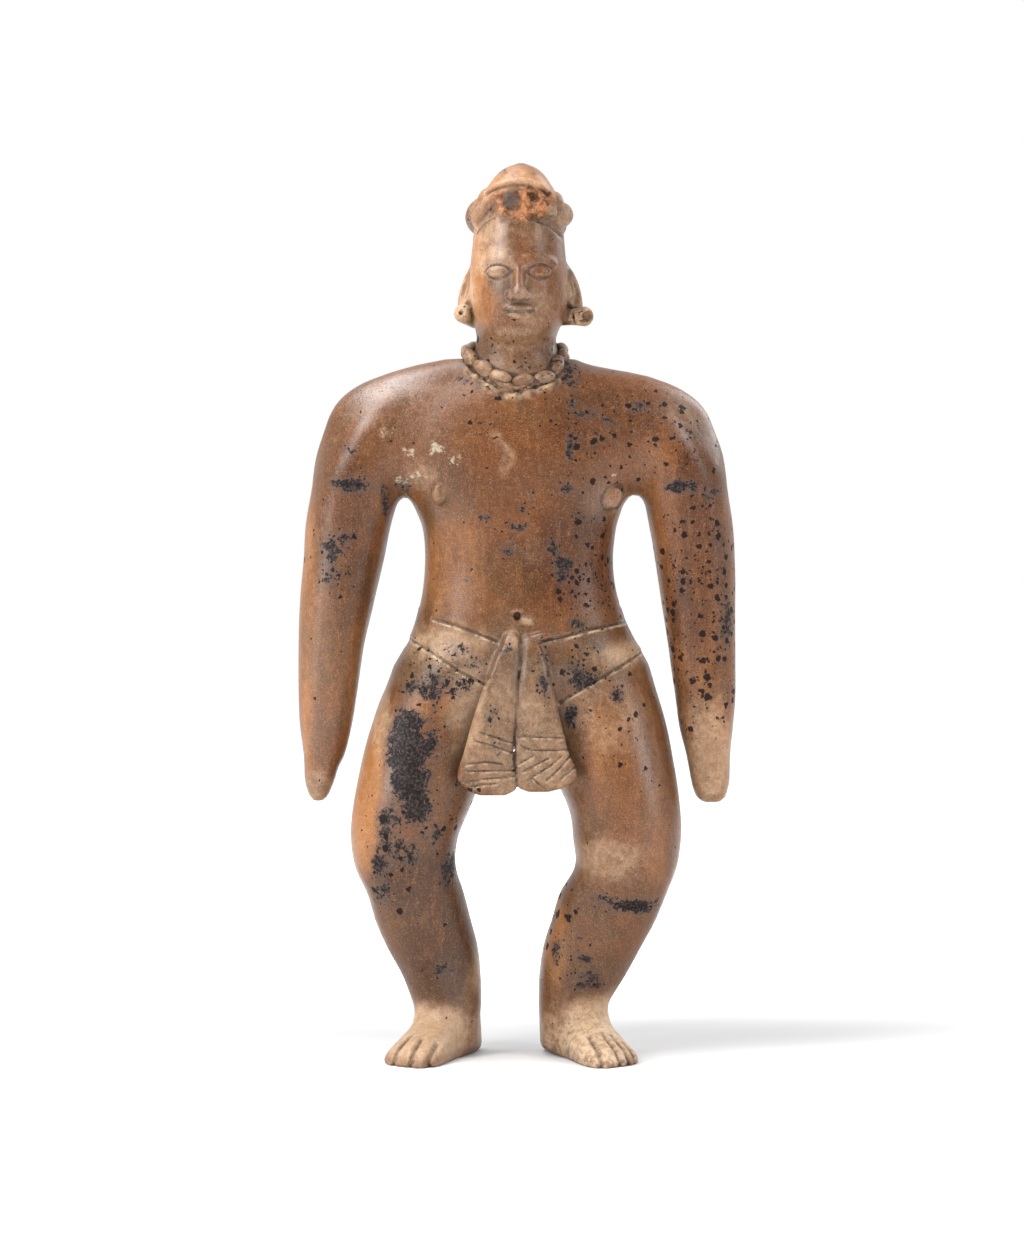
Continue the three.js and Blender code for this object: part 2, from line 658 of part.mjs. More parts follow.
// Everything in one: what stands on the skin is joined to it, and then what is drawn or bored is cut.
const ground = new THREE.BoxGeometry(300, 300, 60).translate(0, 0, -30);
const body = solid(netOver(bodySkin, BODY_NET)).subtract(solid(ground));
const bust = solid(netOver(headSkin, HEAD_NET));
const face = [nose, ...eyes, ...nostrils, ...lips, lump(...CHIN)];
const onHead = [...headdress, ...face, ...ears, ...spools, ...beads];
const onBody = [...NIPPLES.map(pellet), pellet(NAVEL_BUMP), flap(LEFT_FLAP), flap(RIGHT_FLAP)];
const cuts = [...lids, mouthLine, ...lobeHoles, pellet(NAVEL), ...beltLines, ...hemLines, ...toeLines];
const whole = joined([body, bust, ...onHead, ...onBody]).subtract(joined(cuts));

const clay = new THREE.MeshStandardMaterial({ color: 0x9a6a48, roughness: 0.45, metalness: 0 });
const standing = new THREE.Mesh(toGeometry(whole), clay);
standing.name = "standing_figure";
standing.position.set(...TO_ORIGIN);

const group = new THREE.Group();
group.add(standing);
export default group;
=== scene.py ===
"""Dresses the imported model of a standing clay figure: its fine modelling, its fired-clay finish and its stage.

Shapes are worked out in millimetres as a distance field: a function that says how far a point is from the clay,
less than zero inside it. The figure faces -Y and +Z is up. "Left" and "right" are the viewer's. The field is
centred on a line through the neck, and a finished mesh is moved by TO_ORIGIN into the frame, in metres.
"""

import math

import bmesh
import bpy
import numpy as np
from mathutils import Euler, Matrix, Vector


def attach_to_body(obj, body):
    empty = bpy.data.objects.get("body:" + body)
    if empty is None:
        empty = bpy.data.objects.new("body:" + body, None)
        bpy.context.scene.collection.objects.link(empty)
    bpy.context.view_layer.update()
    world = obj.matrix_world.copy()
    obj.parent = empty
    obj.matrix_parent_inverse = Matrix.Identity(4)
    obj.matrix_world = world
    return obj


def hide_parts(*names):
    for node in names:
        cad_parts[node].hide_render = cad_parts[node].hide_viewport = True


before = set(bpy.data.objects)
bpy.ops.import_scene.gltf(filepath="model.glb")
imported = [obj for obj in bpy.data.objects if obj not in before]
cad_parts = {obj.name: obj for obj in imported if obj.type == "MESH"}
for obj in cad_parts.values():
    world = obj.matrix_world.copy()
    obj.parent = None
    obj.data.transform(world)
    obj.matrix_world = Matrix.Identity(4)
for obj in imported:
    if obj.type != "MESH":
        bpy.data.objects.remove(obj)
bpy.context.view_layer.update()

bl_info = {
    "name": "Standing clay figure",
    "version": (1, 0, 0),
    "blender": (4, 5, 0),
    "location": "View3D > Sidebar > Clay figure",
    "description": "Builds a burnished clay figure with its necklace, patina and stage",
    "category": "Object",
}

TO_ORIGIN = np.array([0.12, 3.62, 0.0])
MM = 0.001
NET_FROM, NET_TO = (-112, -50, -6), (112, 50, 428)  # The box that the figure's net is sought in
SPLITS = 2  # How many times the net may be split where finer modelling needs it
FEWEST_KNOTS = 10000  # A net with fewer than these has missed part of the figure
FAR_AWAY = 40.0  # The distance given for points that are nowhere near a shape
FROM_FRONT, FROM_ABOVE = (0, 2), (0, 1)  # The two axes that a drawn line is seen in
BELT_DEPTH = 1.05  # Usual depth of the belt's drawn lines
BAND_RISE = 0.45  # How far the belt's band stands out of the skin
SOLE_EDGE = 2.2  # Width of the soft edge round the flat soles
BURR = 0.22  # How high the clay stands beside a drawn line, as a share of the line's depth
WIDE_SLOT = 2  # The toe slot that is cut wider than the others
BEAD_LUMPS = 0.0024  # How uneven the beads are, in metres
WOBBLE = 0.0028  # How far the outlines of the mineral spots stray, in metres
BUMP_HEIGHT = 0.0003  # Height of the finest relief, in metres
STRING_RADIUS = 3.4  # Half the width of the string of beads, for the dirt round it

# The stage, in metres and degrees
FLOOR_REACH = 6.0
CAMERA_HEIGHT = 0.305
CAMERA_DIP = 2.56
CAMERA_SHIFT = -5 / 1246  # Five pixels of the picture, as a share of its height

# ---- Sizes of the body, as level slices: height, middle across, middle in depth, half width, half depth

TRUNK = [
    [146, 1, 1, 16, 14],
    [152, 1, 1, 36, 25],
    [165, 1.5, 1.5, 53, 32],
    [182, 1.8, 1.5, 59.4, 36],
    [195, 2.2, 0.5, 53.6, 34.5],
    [208, 1.6, -1, 48.2, 33],
    [228, 1, -1, 44.4, 30.5],
    [248, 1.2, -0.5, 45.2, 30.5],
    [262, 0.8, 0, 49.8, 31],
    [285, 1, 0, 54, 31],
    [305, 1, 1, 44, 27],
    [320, 0, 2, 28, 21],
]
SHOULDERS = [
    [266, 1, 0, 88, 10],
    [271, 1, 0, 92, 15.5],
    [277, 1, 0, 93.6, 20],
    [285, 1.2, 0, 94, 23.4],
    [296, 1, 0.5, 91.2, 25],
    [304, 0.8, 1, 87.8, 24.5],
    [311, 0.2, 1.5, 81.8, 22.5],
    [317, -0.8, 2, 72, 20],
    [321.5, -2.6, 2, 58.5, 18],
    [325.5, -6, 2, 41.5, 16],
    [328.5, -3, 2, 30, 14],
]
NECK = [
    [308, 0, 1, 24, 23],
    [320, 0, 1, 22, 21.8],
    [330, -0.2, 0.8, 20, 20.2],
    [338, -0.4, 0.4, 18.6, 19],
    [347, -0.2, 0, 18, 18.4],
]
HEAD = [
    [334, 0.2, -6, 10, 13],
    [340, 0.4, -4.5, 17.2, 20.5],
    [348, 0.9, -3, 21.2, 24.5],
    [358, 1, -2, 22.9, 26.5],
    [368, 1, -1, 22.9, 27.5],
    [380, 1, 0, 21.8, 27.5],
    [390, 1, 0.5, 20.8, 26.8],
    [400, 1.2, 0.5, 19.4, 25.4],
    [406, 1.4, 0.5, 17.1, 22.4],
    [411, 1.5, 0.5, 14, 18],
    [415, 1.6, 0.5, 10.8, 13.5],
    [418, 1.8, 0.5, 6.8, 8.5],
    [420, 2, 0.5, 1.5, 2],
]
LEFT_ARM = [
    [121, -93.4, -3, 2, 3],
    [123, -93.3, -3, 4, 5],
    [126, -93.2, -3, 5.4, 6.6],
    [131, -92.8, -3, 7, 8.6],
    [136, -92.1, -3, 7.8, 9.8],
    [143, -90.7, -2.5, 9.6, 11.5],
    [156, -90, -2, 12, 14],
    [170, -89.2, -1.5, 13.6, 15.5],
    [195, -87.2, -1, 15.6, 17.5],
    [215, -84.6, -0.5, 17.3, 19],
    [235, -81.3, 0, 18.7, 20.5],
    [250, -79.3, 0, 19.8, 21.5],
    [262, -76.8, 0, 20.6, 22.5],
    [280, -73, 0, 20.4, 24],
    [296, -66, 1, 18, 22],
    [305, -62, 1.5, 15, 19],
    [313, -57, 2, 10.5, 14],
    [318, -54, 2, 5, 8],
]
RIGHT_ARM = [
    [120.5, 91.4, -3, 4, 5],
    [122.5, 91.3, -3, 6.4, 8],
    [126, 91.1, -3, 7.8, 9.6],
    [130, 91, -3, 8.7, 10.6],
    [143, 89.9, -2.5, 10.2, 12.2],
    [156, 88.9, -2, 12.4, 14.2],
    [170, 88.6, -1.5, 14, 16],
    [195, 86.8, -1, 15.8, 17.5],
    [215, 85.2, -0.5, 17.5, 19],
    [235, 83.7, 0, 18.9, 20.5],
    [250, 81.8, 0, 19.8, 21.5],
    [262, 79.7, 0, 20.2, 22.5],
    [280, 75.5, 0, 20.4, 24],
    [296, 68, 1, 18, 22],
    [305, 64, 1.5, 15, 19],
    [313, 59, 2, 10.5, 14],
    [318, 56, 2, 5, 8],
]
LEFT_LEG = [
    [4, -31.6, 9, 13.8, 16],
    [18, -32.4, 8, 14.8, 17],
    [24, -33.1, 7.5, 16.2, 17.5],
    [37, -35.6, 5.5, 18.6, 19.5],
    [51, -39.8, 3, 21.4, 21.5],
    [64, -44.1, 1, 22.6, 23],
    [77, -47.6, -1.5, 22.8, 23.5],
    [90, -52.4, -4.5, 23.7, 24.5],
    [103, -52.9, -5, 25, 26],
    [116, -50.2, -4, 27.2, 28],
    [135, -44.4, -2, 29.6, 30],
    [155, -38, 0, 30.8, 31],
    [175, -31.4, 1.5, 29.8, 31.5],
    [190, -26, 2, 25, 29],
]
RIGHT_LEG = [
    [4, 26, 9, 14.2, 16],
    [18, 26.2, 8, 15.6, 17],
    [24, 26.8, 7.5, 16.6, 17.5],
    [37, 30.6, 5.5, 20.3, 19.5],
    [51, 35.4, 3, 23, 21.5],
    [64, 40.6, 1, 24.4, 23],
    [77, 45.4, -1.5, 25, 23.5],
    [90, 51.3, -4.5, 23.8, 24.5],
    [103, 51.8, -5, 25.2, 26],
    [116, 50.8, -4, 26, 28],
    [135, 45.5, -2, 28.8, 30],
    [155, 39.8, 0, 30.6, 31],
    [175, 34.2, 1.5, 30.4, 31.5],
    [190, 29, 2, 26.6, 29],
]
# A foot's slices run from heel to toes: distance from the heel, shift across, height, half width, half height
FOOT = [
    [-14, 0, 0, 5, 9],
    [-11, 0, 0, 9, 16],
    [-4, 0, 0, 12.4, 23],
    [8, 0, 0, 13.6, 24],
    [20, 0, 0, 13.8, 20],
    [31, 0, 0, 14.6, 15.8],
    [41, 0, 0, 15.2, 12],
    [50, 0, 0, 15, 9],
    [56, 0, 0, 13.6, 7],
    [60, 0, 0, 11, 4.5],
    [62.5, 0, 0, 7, 2],
]
LEFT_FOOT = {"heel": (-31.6, 17), "turn": -20.5, "skew": 0.36}
RIGHT_FOOT = {"heel": (26.5, 17), "turn": 20, "skew": 0.4}

# A flap's slices go from hem to top: height, left edge, right edge, front, thickness
LEFT_FLAP = [
    [125.8, -18, -5, -34.6, 4],
    [128.6, -23.4, -0.6, -36.2, 6],
    [134, -27.6, -0.6, -37.4, 7],
    [147, -24.4, -1.8, -39.2, 7.4],
    [163, -20, -0.4, -41, 8],
    [178, -14.8, 0.2, -41.4, 8.6],
    [190, -10.4, 1.4, -41.2, 9.4],
    [195.6, -7.4, 1.6, -40.8, 9.4],
    [199.4, -6, 1, -39, 8],
    [201.8, -4.2, -0.4, -36, 5],
]
RIGHT_FLAP = [
    [127.4, 5, 15, -34.6, 4],
    [129.4, 0.8, 22, -36.2, 6],
    [134.8, 0, 27.6, -37.4, 7],
    [147, -0.8, 23.6, -39, 7.4],
    [163, 0, 19.6, -40.8, 8],
    [178, 0.6, 16.2, -41, 8.6],
    [190, 2.2, 13.2, -40, 8.8],
    [195, 2.4, 11, -39.4, 8.6],
    [198.4, 2.8, 9, -37.8, 7],
    [200.4, 3.8, 7.4, -35.4, 4],
]

# ---- Lines drawn in the soft clay, in x and z as seen from the front; toe slots in x and y from above

BELT_TOP = [(-39, 207.4), (-24, 203), (-9, 197.2)]
BELT_TOP_RIGHT = [(11.5, 197.6), (24, 200), (36, 203), (48, 205), (62, 207)]
BELT_LOW = [(-64, 203), (-50.2, 197.4), (-38.4, 191), (-26.8, 183.6), (-15, 177.4)]
BELT_LOW_RIGHT = [(19.4, 168.8), (34.4, 177.6), (48, 185.4), (58, 191), (68, 197)]
BELT_LINES = (BELT_TOP, BELT_TOP_RIGHT, BELT_LOW, BELT_LOW_RIGHT)
FLAP_LINES = [
    [(-17.4, 155.7), (-10, 153.2), (-2.4, 150.6)], [(-19.4, 151.5), (-11, 149.2), (-2.6, 146)],
    [(-23.9, 140.5), (-15, 141.6), (-6.5, 140.6)], [(-23.5, 137.3), (-12, 137.6), (-1.5, 137.6)],
    [(-23.9, 132.1), (-16.3, 133.4), (-1.2, 134.8)], [(-20.9, 130.3), (-9.1, 131.8)],
    [(0.4, 152.8), (3.9, 153.6), (21, 152.8)], [(1.8, 149.5), (6.7, 147.4), (23, 147.3)],
    [(0.6, 140.5), (7.7, 144.6)], [(2.8, 137), (15.3, 143.8)], [(5.3, 133.4), (15.9, 140.3), (20.8, 144.6)],
    [(13.7, 132.9), (19.7, 138.6), (24.1, 143.8)], [(20.3, 133.7), (26.4, 138.8)],
    [(7.2, 134), (10.4, 131)],
]
BETWEEN_FLAPS = [(-1.3, -44, 128), (-0.2, -43, 150), (0.4, -43.6, 172), (1.6, -43.4, 190), (2, -42, 199)]
TOE_LINES = [
    [(-58, -39), (-50, -19.5)],
    [(-50, -46), (-44.4, -25.5)],
    [(-42.2, -48.5), (-37.4, -28.5)],
    [(40.2, -51), (33.9, -24.6)],
    [(48.4, -44), (40, -19.2)],
    [(53, -40.5), (44.2, -18.4)],
    [(56.4, -38), (49, -20)],
]
# The belt's raised band lies between these two edges on the front
BAND_TOP = [(-62, 217), (-38.7, 208), (-8.8, 197.4), (1, 197), (11.1, 197.8), (36, 203.4), (50.2, 206),
            (64, 207)]
BAND_LOW = [(-64, 203), (-50.2, 196.5), (-26.8, 182.4), (-14.8, 176.6), (2, 170), (19.2, 168.6), (34.4, 177.4),
            (58, 191), (68, 197)]
BELT_BEHIND = [
    [(-66, 212), (-40, 212.6), (0, 214), (40, 212.4), (68, 212)],
    [(-66, 200), (-40, 200.6), (0, 199), (40, 200.4), (68, 200)],
]
SMEAR_UPPER = [(-20, 326.6), (-11, 319.2), (-1, 315.6), (9.6, 318), (17.6, 322)]
SMEAR = [(-23.4, 323.5), (-12.8, 315), (-0.6, 311), (10.2, 314.2), (19, 318)]
BREASTBONE = [(-10.6, 293.4), (-5.7, 288.8), (-2.6, 284), (-2.8, 280), (-6.8, 276.4)]
RIGHT_NIPPLE = (44.8, 264)
NIPPLE_RING = [
    (RIGHT_NIPPLE[0] + 4.9 * math.cos(a) + 0.3 * 5.9 * math.sin(a),
     RIGHT_NIPPLE[1] + 5.9 * math.sin(a) - 0.2 * math.cos(a))
    for a in np.linspace(0, 2 * math.pi, 17)
]
SCRATCHES = [
    [(-31, 302), (-14, 297)], [(43, 174), (46.6, 161)], [(-52, 128), (-55, 108)], [(-33, 66), (-37, 54)],
    [(-75, 305), (-58, 309)], [(14, 262), (22, 249)],
]

ROLL = {
    "middle": (1, 0.5, 395.8),
    "half": (17, 23.4),
    "rise": 3.6,
    "lean": 0.45,
    "strand": 4.6,
    "wrap": 3.8,
    "twists": 4,
    "phase": 0.4,
    "from": 24,
    "span": 320,
}
# Lumps of broken clay and pits in it: middle, half sizes, lean in degrees, and width of the soft corner
SCAR_LUMPS = [((10.6, -21.4, 398.4), (8, 6.4, 3.6), 18), ((-3.8, -21.4, 395.2), (7, 5.8, 3.4), 8)]
SCAR_PITS = [
    ((-2.2, -26.8, 402.4), (4.6, 3.4, 5.4), 0, 1.0),
    ((7.6, -27, 403.4), (3.6, 4.6, 2), 28, 0.6),
    ((14.4, -26, 400.6), (1.6, 3.4, 2.6), 0, 0.5),
    ((9.4, -28.4, 393.2), (8.4, 5, 2), 20, 0.6),
    ((-11.4, -25, 399.4), (2.2, 5, 5), -14, 0.6),
]
# Places pressed in or, below zero, raised on the front: depth, x, z, half width, half height, lean in degrees
DENTS = [
    (1.3, -9, 283.4, 3.8, 6.5, -10), (0.7, 42, 277, 1.2, 1.4, 0), (0.8, -30.6, 260.6, 3, 5, 16),
    (0.6, 4, 262, 5, 7, 0), (-0.55, 10, 243, 6, 13, 6), (0.7, 21, 244, 3, 9, 20), (0.5, -26, 258, 5, 4, 0),
    (0.6, 30, 285, 7, 3, 20), (-0.4, 24, 283, 4, 3, 0),
]
FACE = {"middle": 1, "eyes": 368.5, "eye_gap": 9.6, "nose_base": 356.5, "mouth": 350.2}
NECKLACE = [
    (2.8, -24, 318), (14, -20, 320.2), (19.8, -10.8, 327.2), (21, 2, 331.4), (16, 14.4, 334.4),
    (3, 21.2, 335.6), (-13, 17.4, 335), (-21.8, 8, 333), (-22.9, -7, 330.2), (-17.3, -17, 325),
    (-8.1, -22.5, 320.2),
]

# ---- Where the net is finer, by the longest edge wanted there

PLAIN_LENGTH = 9.0
# Boxes: edge length, lowest and highest x, y in front of which the box lies, lowest and highest z
FINE_BOXES = [
    (1.5, -40, 40, 99, 306, 499),  # Head, headband and necklace
    (1.5, -31, 33, -22, 121, 207),  # Flaps
    (1.5, -199, 199, -4, -99, 24),  # Feet
    (0.7, -19, 21, -14, 340, 378),  # Face
    (0.7, -19, 23, -12, 386, 412),  # Break in the headband
    (0.7, -29, 29, -33, 127.5, 157.5),  # Lines on the flaps
    (0.9, -36, -14, 0, 342, 358),  # Ear spools
    (0.9, 14, 36, 0, 342, 358),
]
# Round places on the front: edge length, reach, x, z. They are the nipples and the navel.
FINE_ROUNDS = [(0.75, 8, -35.8, 264.7), (0.75, 8, 44.8, 264.7), (0.8, 7, 1.5, 208.6)]

# ---- Places of marks on the clay, and of painted highlights and painted shade, as seen from the front: x, z, half width, half height, strength

MINERAL_STAINS = [
    (-50.4, 158, 8, 9, 1.0), (-51, 146, 11, 16, 1.0), (-50, 132, 11, 13, 0.95), (-47, 120, 9, 11, 0.8),
    (-40, 150, 7, 14, 0.6), (-59.8, 111.3, 7, 12, 0.6), (-64, 93, 5, 12, 0.66), (-57, 100, 9, 9, 0.6),
    (-50, 98, 7, 7, 0.62), (-62.6, 79, 5, 8, 0.6), (-40, 108, 9, 11, 0.42), (-32, 90, 5, 11, 0.62),
    (-38, 175, 17, 6, 0.62), (-38.5, 174, 4, 12, 0.66), (-27, 178, 8, 5, 0.55), (-76.8, 269.5, 10, 4, 0.9),
    (-68, 268, 12, 2.4, 0.6), (-85, 240, 8, 8, 0.62), (-81, 245, 6, 5, 0.6), (-87, 229, 6, 9, 0.58),
    (-79, 285, 5, 4, 0.5), (-52.6, 269, 4, 4, 0.72), (-61, 262, 2.6, 9, 0.62), (33, 303, 6, 4, 0.6),
    (43, 299, 5, 3, 0.6), (56, 306, 8, 4, 0.45), (24.6, 290, 2.4, 9, 0.6), (24, 284, 3, 4, 0.6),
    (22, 268, 5, 5, 0.6), (2.4, 259, 3, 4, 0.62), (1, 250, 8, 3, 0.6), (-4, 240, 5, 5, 0.5),
    (6, 262, 2, 8, 0.5), (17, 240, 4, 6, 0.7), (22, 233, 6, 5, 0.74), (21, 226, 5, 4, 0.7),
    (-15, 255, 4, 2.5, 0.55), (27, 205, 5, 4, 0.62), (31, 180, 10, 6, 0.74), (26, 186, 7, 4, 0.6),
    (46.9, 172.4, 4, 5, 0.74), (25.5, 162.4, 4, 8, 0.72), (76, 269, 9, 4, 0.85), (90, 266, 8, 3, 0.6),
    (98, 205, 4, 16, 0.6), (54, 73, 14, 4.6, 0.95), (40, 77, 6, 3, 0.5), (18, 50, 3, 9, 0.56),
    (32, 48, 6, 3, 0.62), (33, 37, 11, 7, 0.56), (29, 58, 3, 2.5, 0.6), (16, 66, 3, 8, 0.5),
    (-35, 42, 7, 4, 0.5), (25, 321, 6, 8, 0.6), (26, 308, 4, 7, 0.4), (-6, 194, 5, 3, 0.5),
    (-28, 193, 8, 5, 0.45), (-21, 187, 8, 5, 0.5), (13, 182, 3, 14, 0.6), (-12, 164, 5, 6, 0.5),
    (-8, 150, 6, 5, 0.42), (-12, 333, 4, 5, 0.4), (-24, 319, 6, 3, 0.45), (15, 332, 3, 6, 0.4),
    (4, 324, 9, 3, 0.4), (-7.4, 416, 4, 2.5, 0.5), (8.3, 414.6, 2.5, 1.5, 0.5),
]
SPOT_FIELDS = [
    (62, 292, 28, 20, 0.62), (62, 297, 8, 8, 0.9), (38, 268, 14, 12, 0.3), (30, 292, 16, 18, 0.45),
    (-86, 232, 10, 16, 0.5), (33, 222, 14, 17, 1.0), (30, 246, 12, 14, 0.6), (84, 211, 20, 36, 1.0),
    (88, 178, 14, 20, 1.0), (86, 246, 14, 16, 0.9), (75, 205, 8, 44, 1.0), (0, 333, 26, 14, 0.1),
    (0, 312, 22, 5, 0.2), (-38, 184, 22, 12, 0.6), (9, 184, 5, 9, 0.5), (-20, 296, 16, 7, 0.12),
    (-86, 222, 8, 12, 0.4), (-30, 120, 14, 16, 0.35), (-58, 100, 10, 24, 0.5), (50, 160, 16, 20, 0.22),
    (18, 60, 10, 26, 0.4), (30, 182, 14, 10, 0.5),
]
# Pale slip worn to the buff body on the feet, flaps, belt, ears and face, and painted highlights on the
# forehead, shoulders and thighs
PALE_AND_HIGHLIGHT_PLACES = [
    (-45, 8, 30, 15, 1.0), (38, 10, 30, 19, 1.0), (0, 150, 30, 42, 0.36), (-34, 196, 22, 10, 0.55),
    (50, 191, 11, 7, 0.66), (40, 188, 8, 6, 0.4), (90, 143, 14, 32, 0.52), (-93, 128, 9, 12, 0.42),
    (43, 96, 17, 13, 0.42), (-22, 165, 10, 28, 0.5), (22, 140, 9, 26, 0.36), (-12, 374, 10, 12, 0.5),
    (6, 352, 14, 12, 0.36), (-26, 356, 7, 18, 0.85), (30, 356, 7, 18, 0.85), (0, 404, 26, 14, 0.36),
    (0, 321, 27, 13, 0.3), (-2, 338, 20, 8, 0.32), (-74, 150, 4, 30, 0.4), (-92, 132, 10, 16, 0.2),
    (4.2, 206.8, 2.6, 2, 0.7), (-2.4, 198, 3.6, 6, 0.5), (5, 196, 3, 4, 0.3), (-13, 388, 10, 9, 0.55),
    (7, 387, 8, 7, 0.3), (-19, 396, 7, 9, 0.4), (21, 397, 6, 9, 0.4), (1, 409.6, 18, 3.6, 0.5),
    (-60, 312, 15, 5, 0.25), (-35.8, 266, 5, 6, 0.3), (40, 162, 15, 22, 0.34), (-64, 162, 6, 22, 0.5),
    (38, 12, 22, 12, 1.0), (-45, 274, 10, 10, 0.3), (46, 262, 9, 9, 0.36), (8, 243, 6, 12, 0.24),
    (-75, 306, 26, 9, 0.15), (84, 302, 18, 9, 0.22), (30, 100, 6, 36, 0.24), (-18, 28, 8, 30, 0.36),
]
SCUFFS = [
    (-60, 294, 5, 4, 0.7), (-50, 285, 4, 3.4, 0.85), (-38, 287, 5, 4, 0.9), (-29, 281, 5, 4, 0.7),
    (-46, 274, 6, 3, 0.8), (-54, 272, 8, 3, 0.55), (45, 274.5, 1.8, 1.6, 0.9), (30, 260, 4, 3, 0.4),
]
DULL_PLACES = [
    (-36, 56, 26, 40, 0.55), (34, 46, 24, 26, 0.5), (36, 84, 24, 24, 0.4), (0, 330, 24, 16, 0.5),
    (-86, 190, 16, 50, 0.45), (36, 300, 30, 16, 0.4), (0, 268, 60, 26, 0.16), (-46, 186, 26, 12, 0.8),
    (-24, 150, 12, 34, 0.5), (62, 178, 20, 18, 0.3), (16, 384, 14, 14, 0.6), (0, 165, 20, 44, 0.8),
    (28, 190, 24, 14, 0.6), (-88, 150, 12, 30, 0.35),
]
# Darker places: darker clay, and painted shade, as on the right arm and chest and in the clefts of the
# headband's break
DARK_AND_SHADED_PLACES = [
    (-78, 240, 12, 46, 0.75), (-84, 200, 9, 26, 0.4), (82, 238, 13, 46, 1.0), (88, 168, 12, 34, 0.35),
    (84, 274, 16, 16, 0.9), (26, 236, 22, 24, 1.0), (-30, 240, 26, 24, 0.35), (4, 278, 44, 26, 0.42),
    (0, 240, 30, 22, 0.3), (-36, 62, 17, 32, 1.0), (-46, 84, 18, 12, 0.95), (-46, 8, 26, 8, 0.3),
    (-30, 62, 8, 40, 0.8), (36, 62, 15, 26, 0.35), (32, 240, 10, 40, 0.5), (86, 236, 12, 44, 0.7),
    (42, 292, 22, 12, 0.3), (9, 328, 12, 7, 0.5), (-12, 336, 5, 4, 0.4), (38, 300, 32, 17, 0.75),
    (10, 402, 7, 5, 0.5), (-12, 400, 3, 6, 0.6),
]
SHINE_PLACES = [
    (-62, 309, 26, 14, 1.0), (84, 303, 22, 14, 1.0), (100, 270, 6, 40, 0.6), (0, 412, 20, 12, 0.3),
    (-8, 384, 14, 14, 0.9), (0, 362, 10, 14, 0.8), (-94, 220, 9, 90, 0.7), (-62, 158, 10, 40, 1.0),
    (62, 150, 9, 44, 0.8), (-40, 232, 8, 34, 0.6), (-30, 20, 10, 26, 0.6), (40, 262, 10, 10, 0.6),
    (0, 190, 30, 14, 0.5),
]
# Thin orange slip, and painted highlights along lit edges, most of all down the left thigh
WARM_AND_EDGE_HIGHLIGHT_PLACES = [
    (-100, 200, 7, 80, 0.55), (-92, 165, 12, 46, 0.2), (94, 150, 5, 30, 0.5), (-72, 136, 9, 44, 0.9),
    (-72, 210, 6, 50, 0.3), (-30, 232, 16, 26, 0.5), (52, 150, 16, 36, 0.3), (84, 206, 12, 44, 0.3),
    (-84, 205, 10, 50, 0.35), (70, 250, 7, 50, 0.45), (-19, 370, 3.5, 22, 0.95), (-17, 352, 8, 10, 0.6),
    (62, 112, 10, 30, 0.35), (0, 409, 18, 10, 0.85), (18, 56, 6, 22, 0.6), (20, 306, 30, 12, 0.3),
    (-40, 168, 12, 8, 0.4),
]


# ---- Distance fields


def slice_curve(rows):
    """Smooth curve through a slice table: the four sizes at any distance along it."""
    rows = np.array(rows, float)
    place, sizes = rows[:, 0], rows[:, 1:]
    slopes = np.empty_like(sizes)
    slopes[1:-1] = (sizes[2:] - sizes[:-2]) / (place[2:] - place[:-2])[:, None]
    slopes[0] = (sizes[1] - sizes[0]) / (place[1] - place[0])
    slopes[-1] = (sizes[-1] - sizes[-2]) / (place[-1] - place[-2])

    def at(along):
        along = np.clip(along, place[0], place[-1])
        i = np.clip(np.searchsorted(place, along, side="right") - 1, 0, len(place) - 2)
        span = place[i + 1] - place[i]
        s = ((along - place[i]) / span)[:, None]
        blend = s * s * (3 - 2 * s)
        out = s * (1 - s) ** 2 * span[:, None]
        into = -s * s * (1 - s) * span[:, None]
        return (sizes[i] + (sizes[i + 1] - sizes[i]) * blend + slopes[i] * out + slopes[i + 1] * into).T

    return at


def near(shape, low, high, margin=16):
    """The same field, worked out only close to its own box, and simply far away elsewhere."""
    low, high = np.array(low, float) - margin, np.array(high, float) + margin

    def distance(p):
        close = np.all((p > low) & (p < high), axis=1)
        result = np.full(len(p), FAR_AWAY)
        if close.any():
            result[close] = shape(p[close])
        return result

    return distance


def limb(rows, square=2.2):
    """Distance to a limb made of slices. square says how boxy a slice is."""
    sizes_at = slice_curve(rows)
    table = np.array(rows, float)
    bottom, top = table[0, 0], table[-1, 0]

    def distance(p):
        along = p[:, 2]
        x, y, half_x, half_y = sizes_at(along)
        u = np.abs(p[:, 0] - x) / half_x
        v = np.abs(p[:, 1] - y) / half_y
        reach = np.maximum((u**square + v**square) ** (1 / square), 1e-3)
        steep = reach ** (1 - square) * np.hypot(u ** (square - 1) / half_x, v ** (square - 1) / half_y)
        side = (reach - 1) / np.maximum(steep, 1e-6)
        return rounded_end(side, np.maximum(bottom - along, along - top))

    low = [(table[:, 1] - table[:, 3]).min(), (table[:, 2] - table[:, 4]).min(), bottom]
    high = [(table[:, 1] + table[:, 3]).max(), (table[:, 2] + table[:, 4]).max(), top]
    return near(distance, low, high)


def foot(heel, turn, skew):
    """Distance to a foot that lies along its own turned axis."""
    shape = limb(FOOT, 2.6)
    angle = math.radians(turn)
    outwards = math.copysign(1, turn)

    def distance(p):
        dx, dy = p[:, 0] - heel[0], p[:, 1] - heel[1]
        along = dx * math.sin(angle) - dy * math.cos(angle)
        across = (dx * math.cos(angle) + dy * math.sin(angle)) * outwards
        s = np.clip((along - 10) / 40, 0, 1)
        return shape(np.column_stack([across, p[:, 2], along + skew * across * s * s * (3 - 2 * s)]))

    return distance


def flap(rows):
    """Distance to one flap of the loincloth."""
    return limb([[z, (left + right) / 2, front + deep / 2, (right - left) / 2, deep / 2]
                 for z, left, right, front, deep in rows], 3.2)


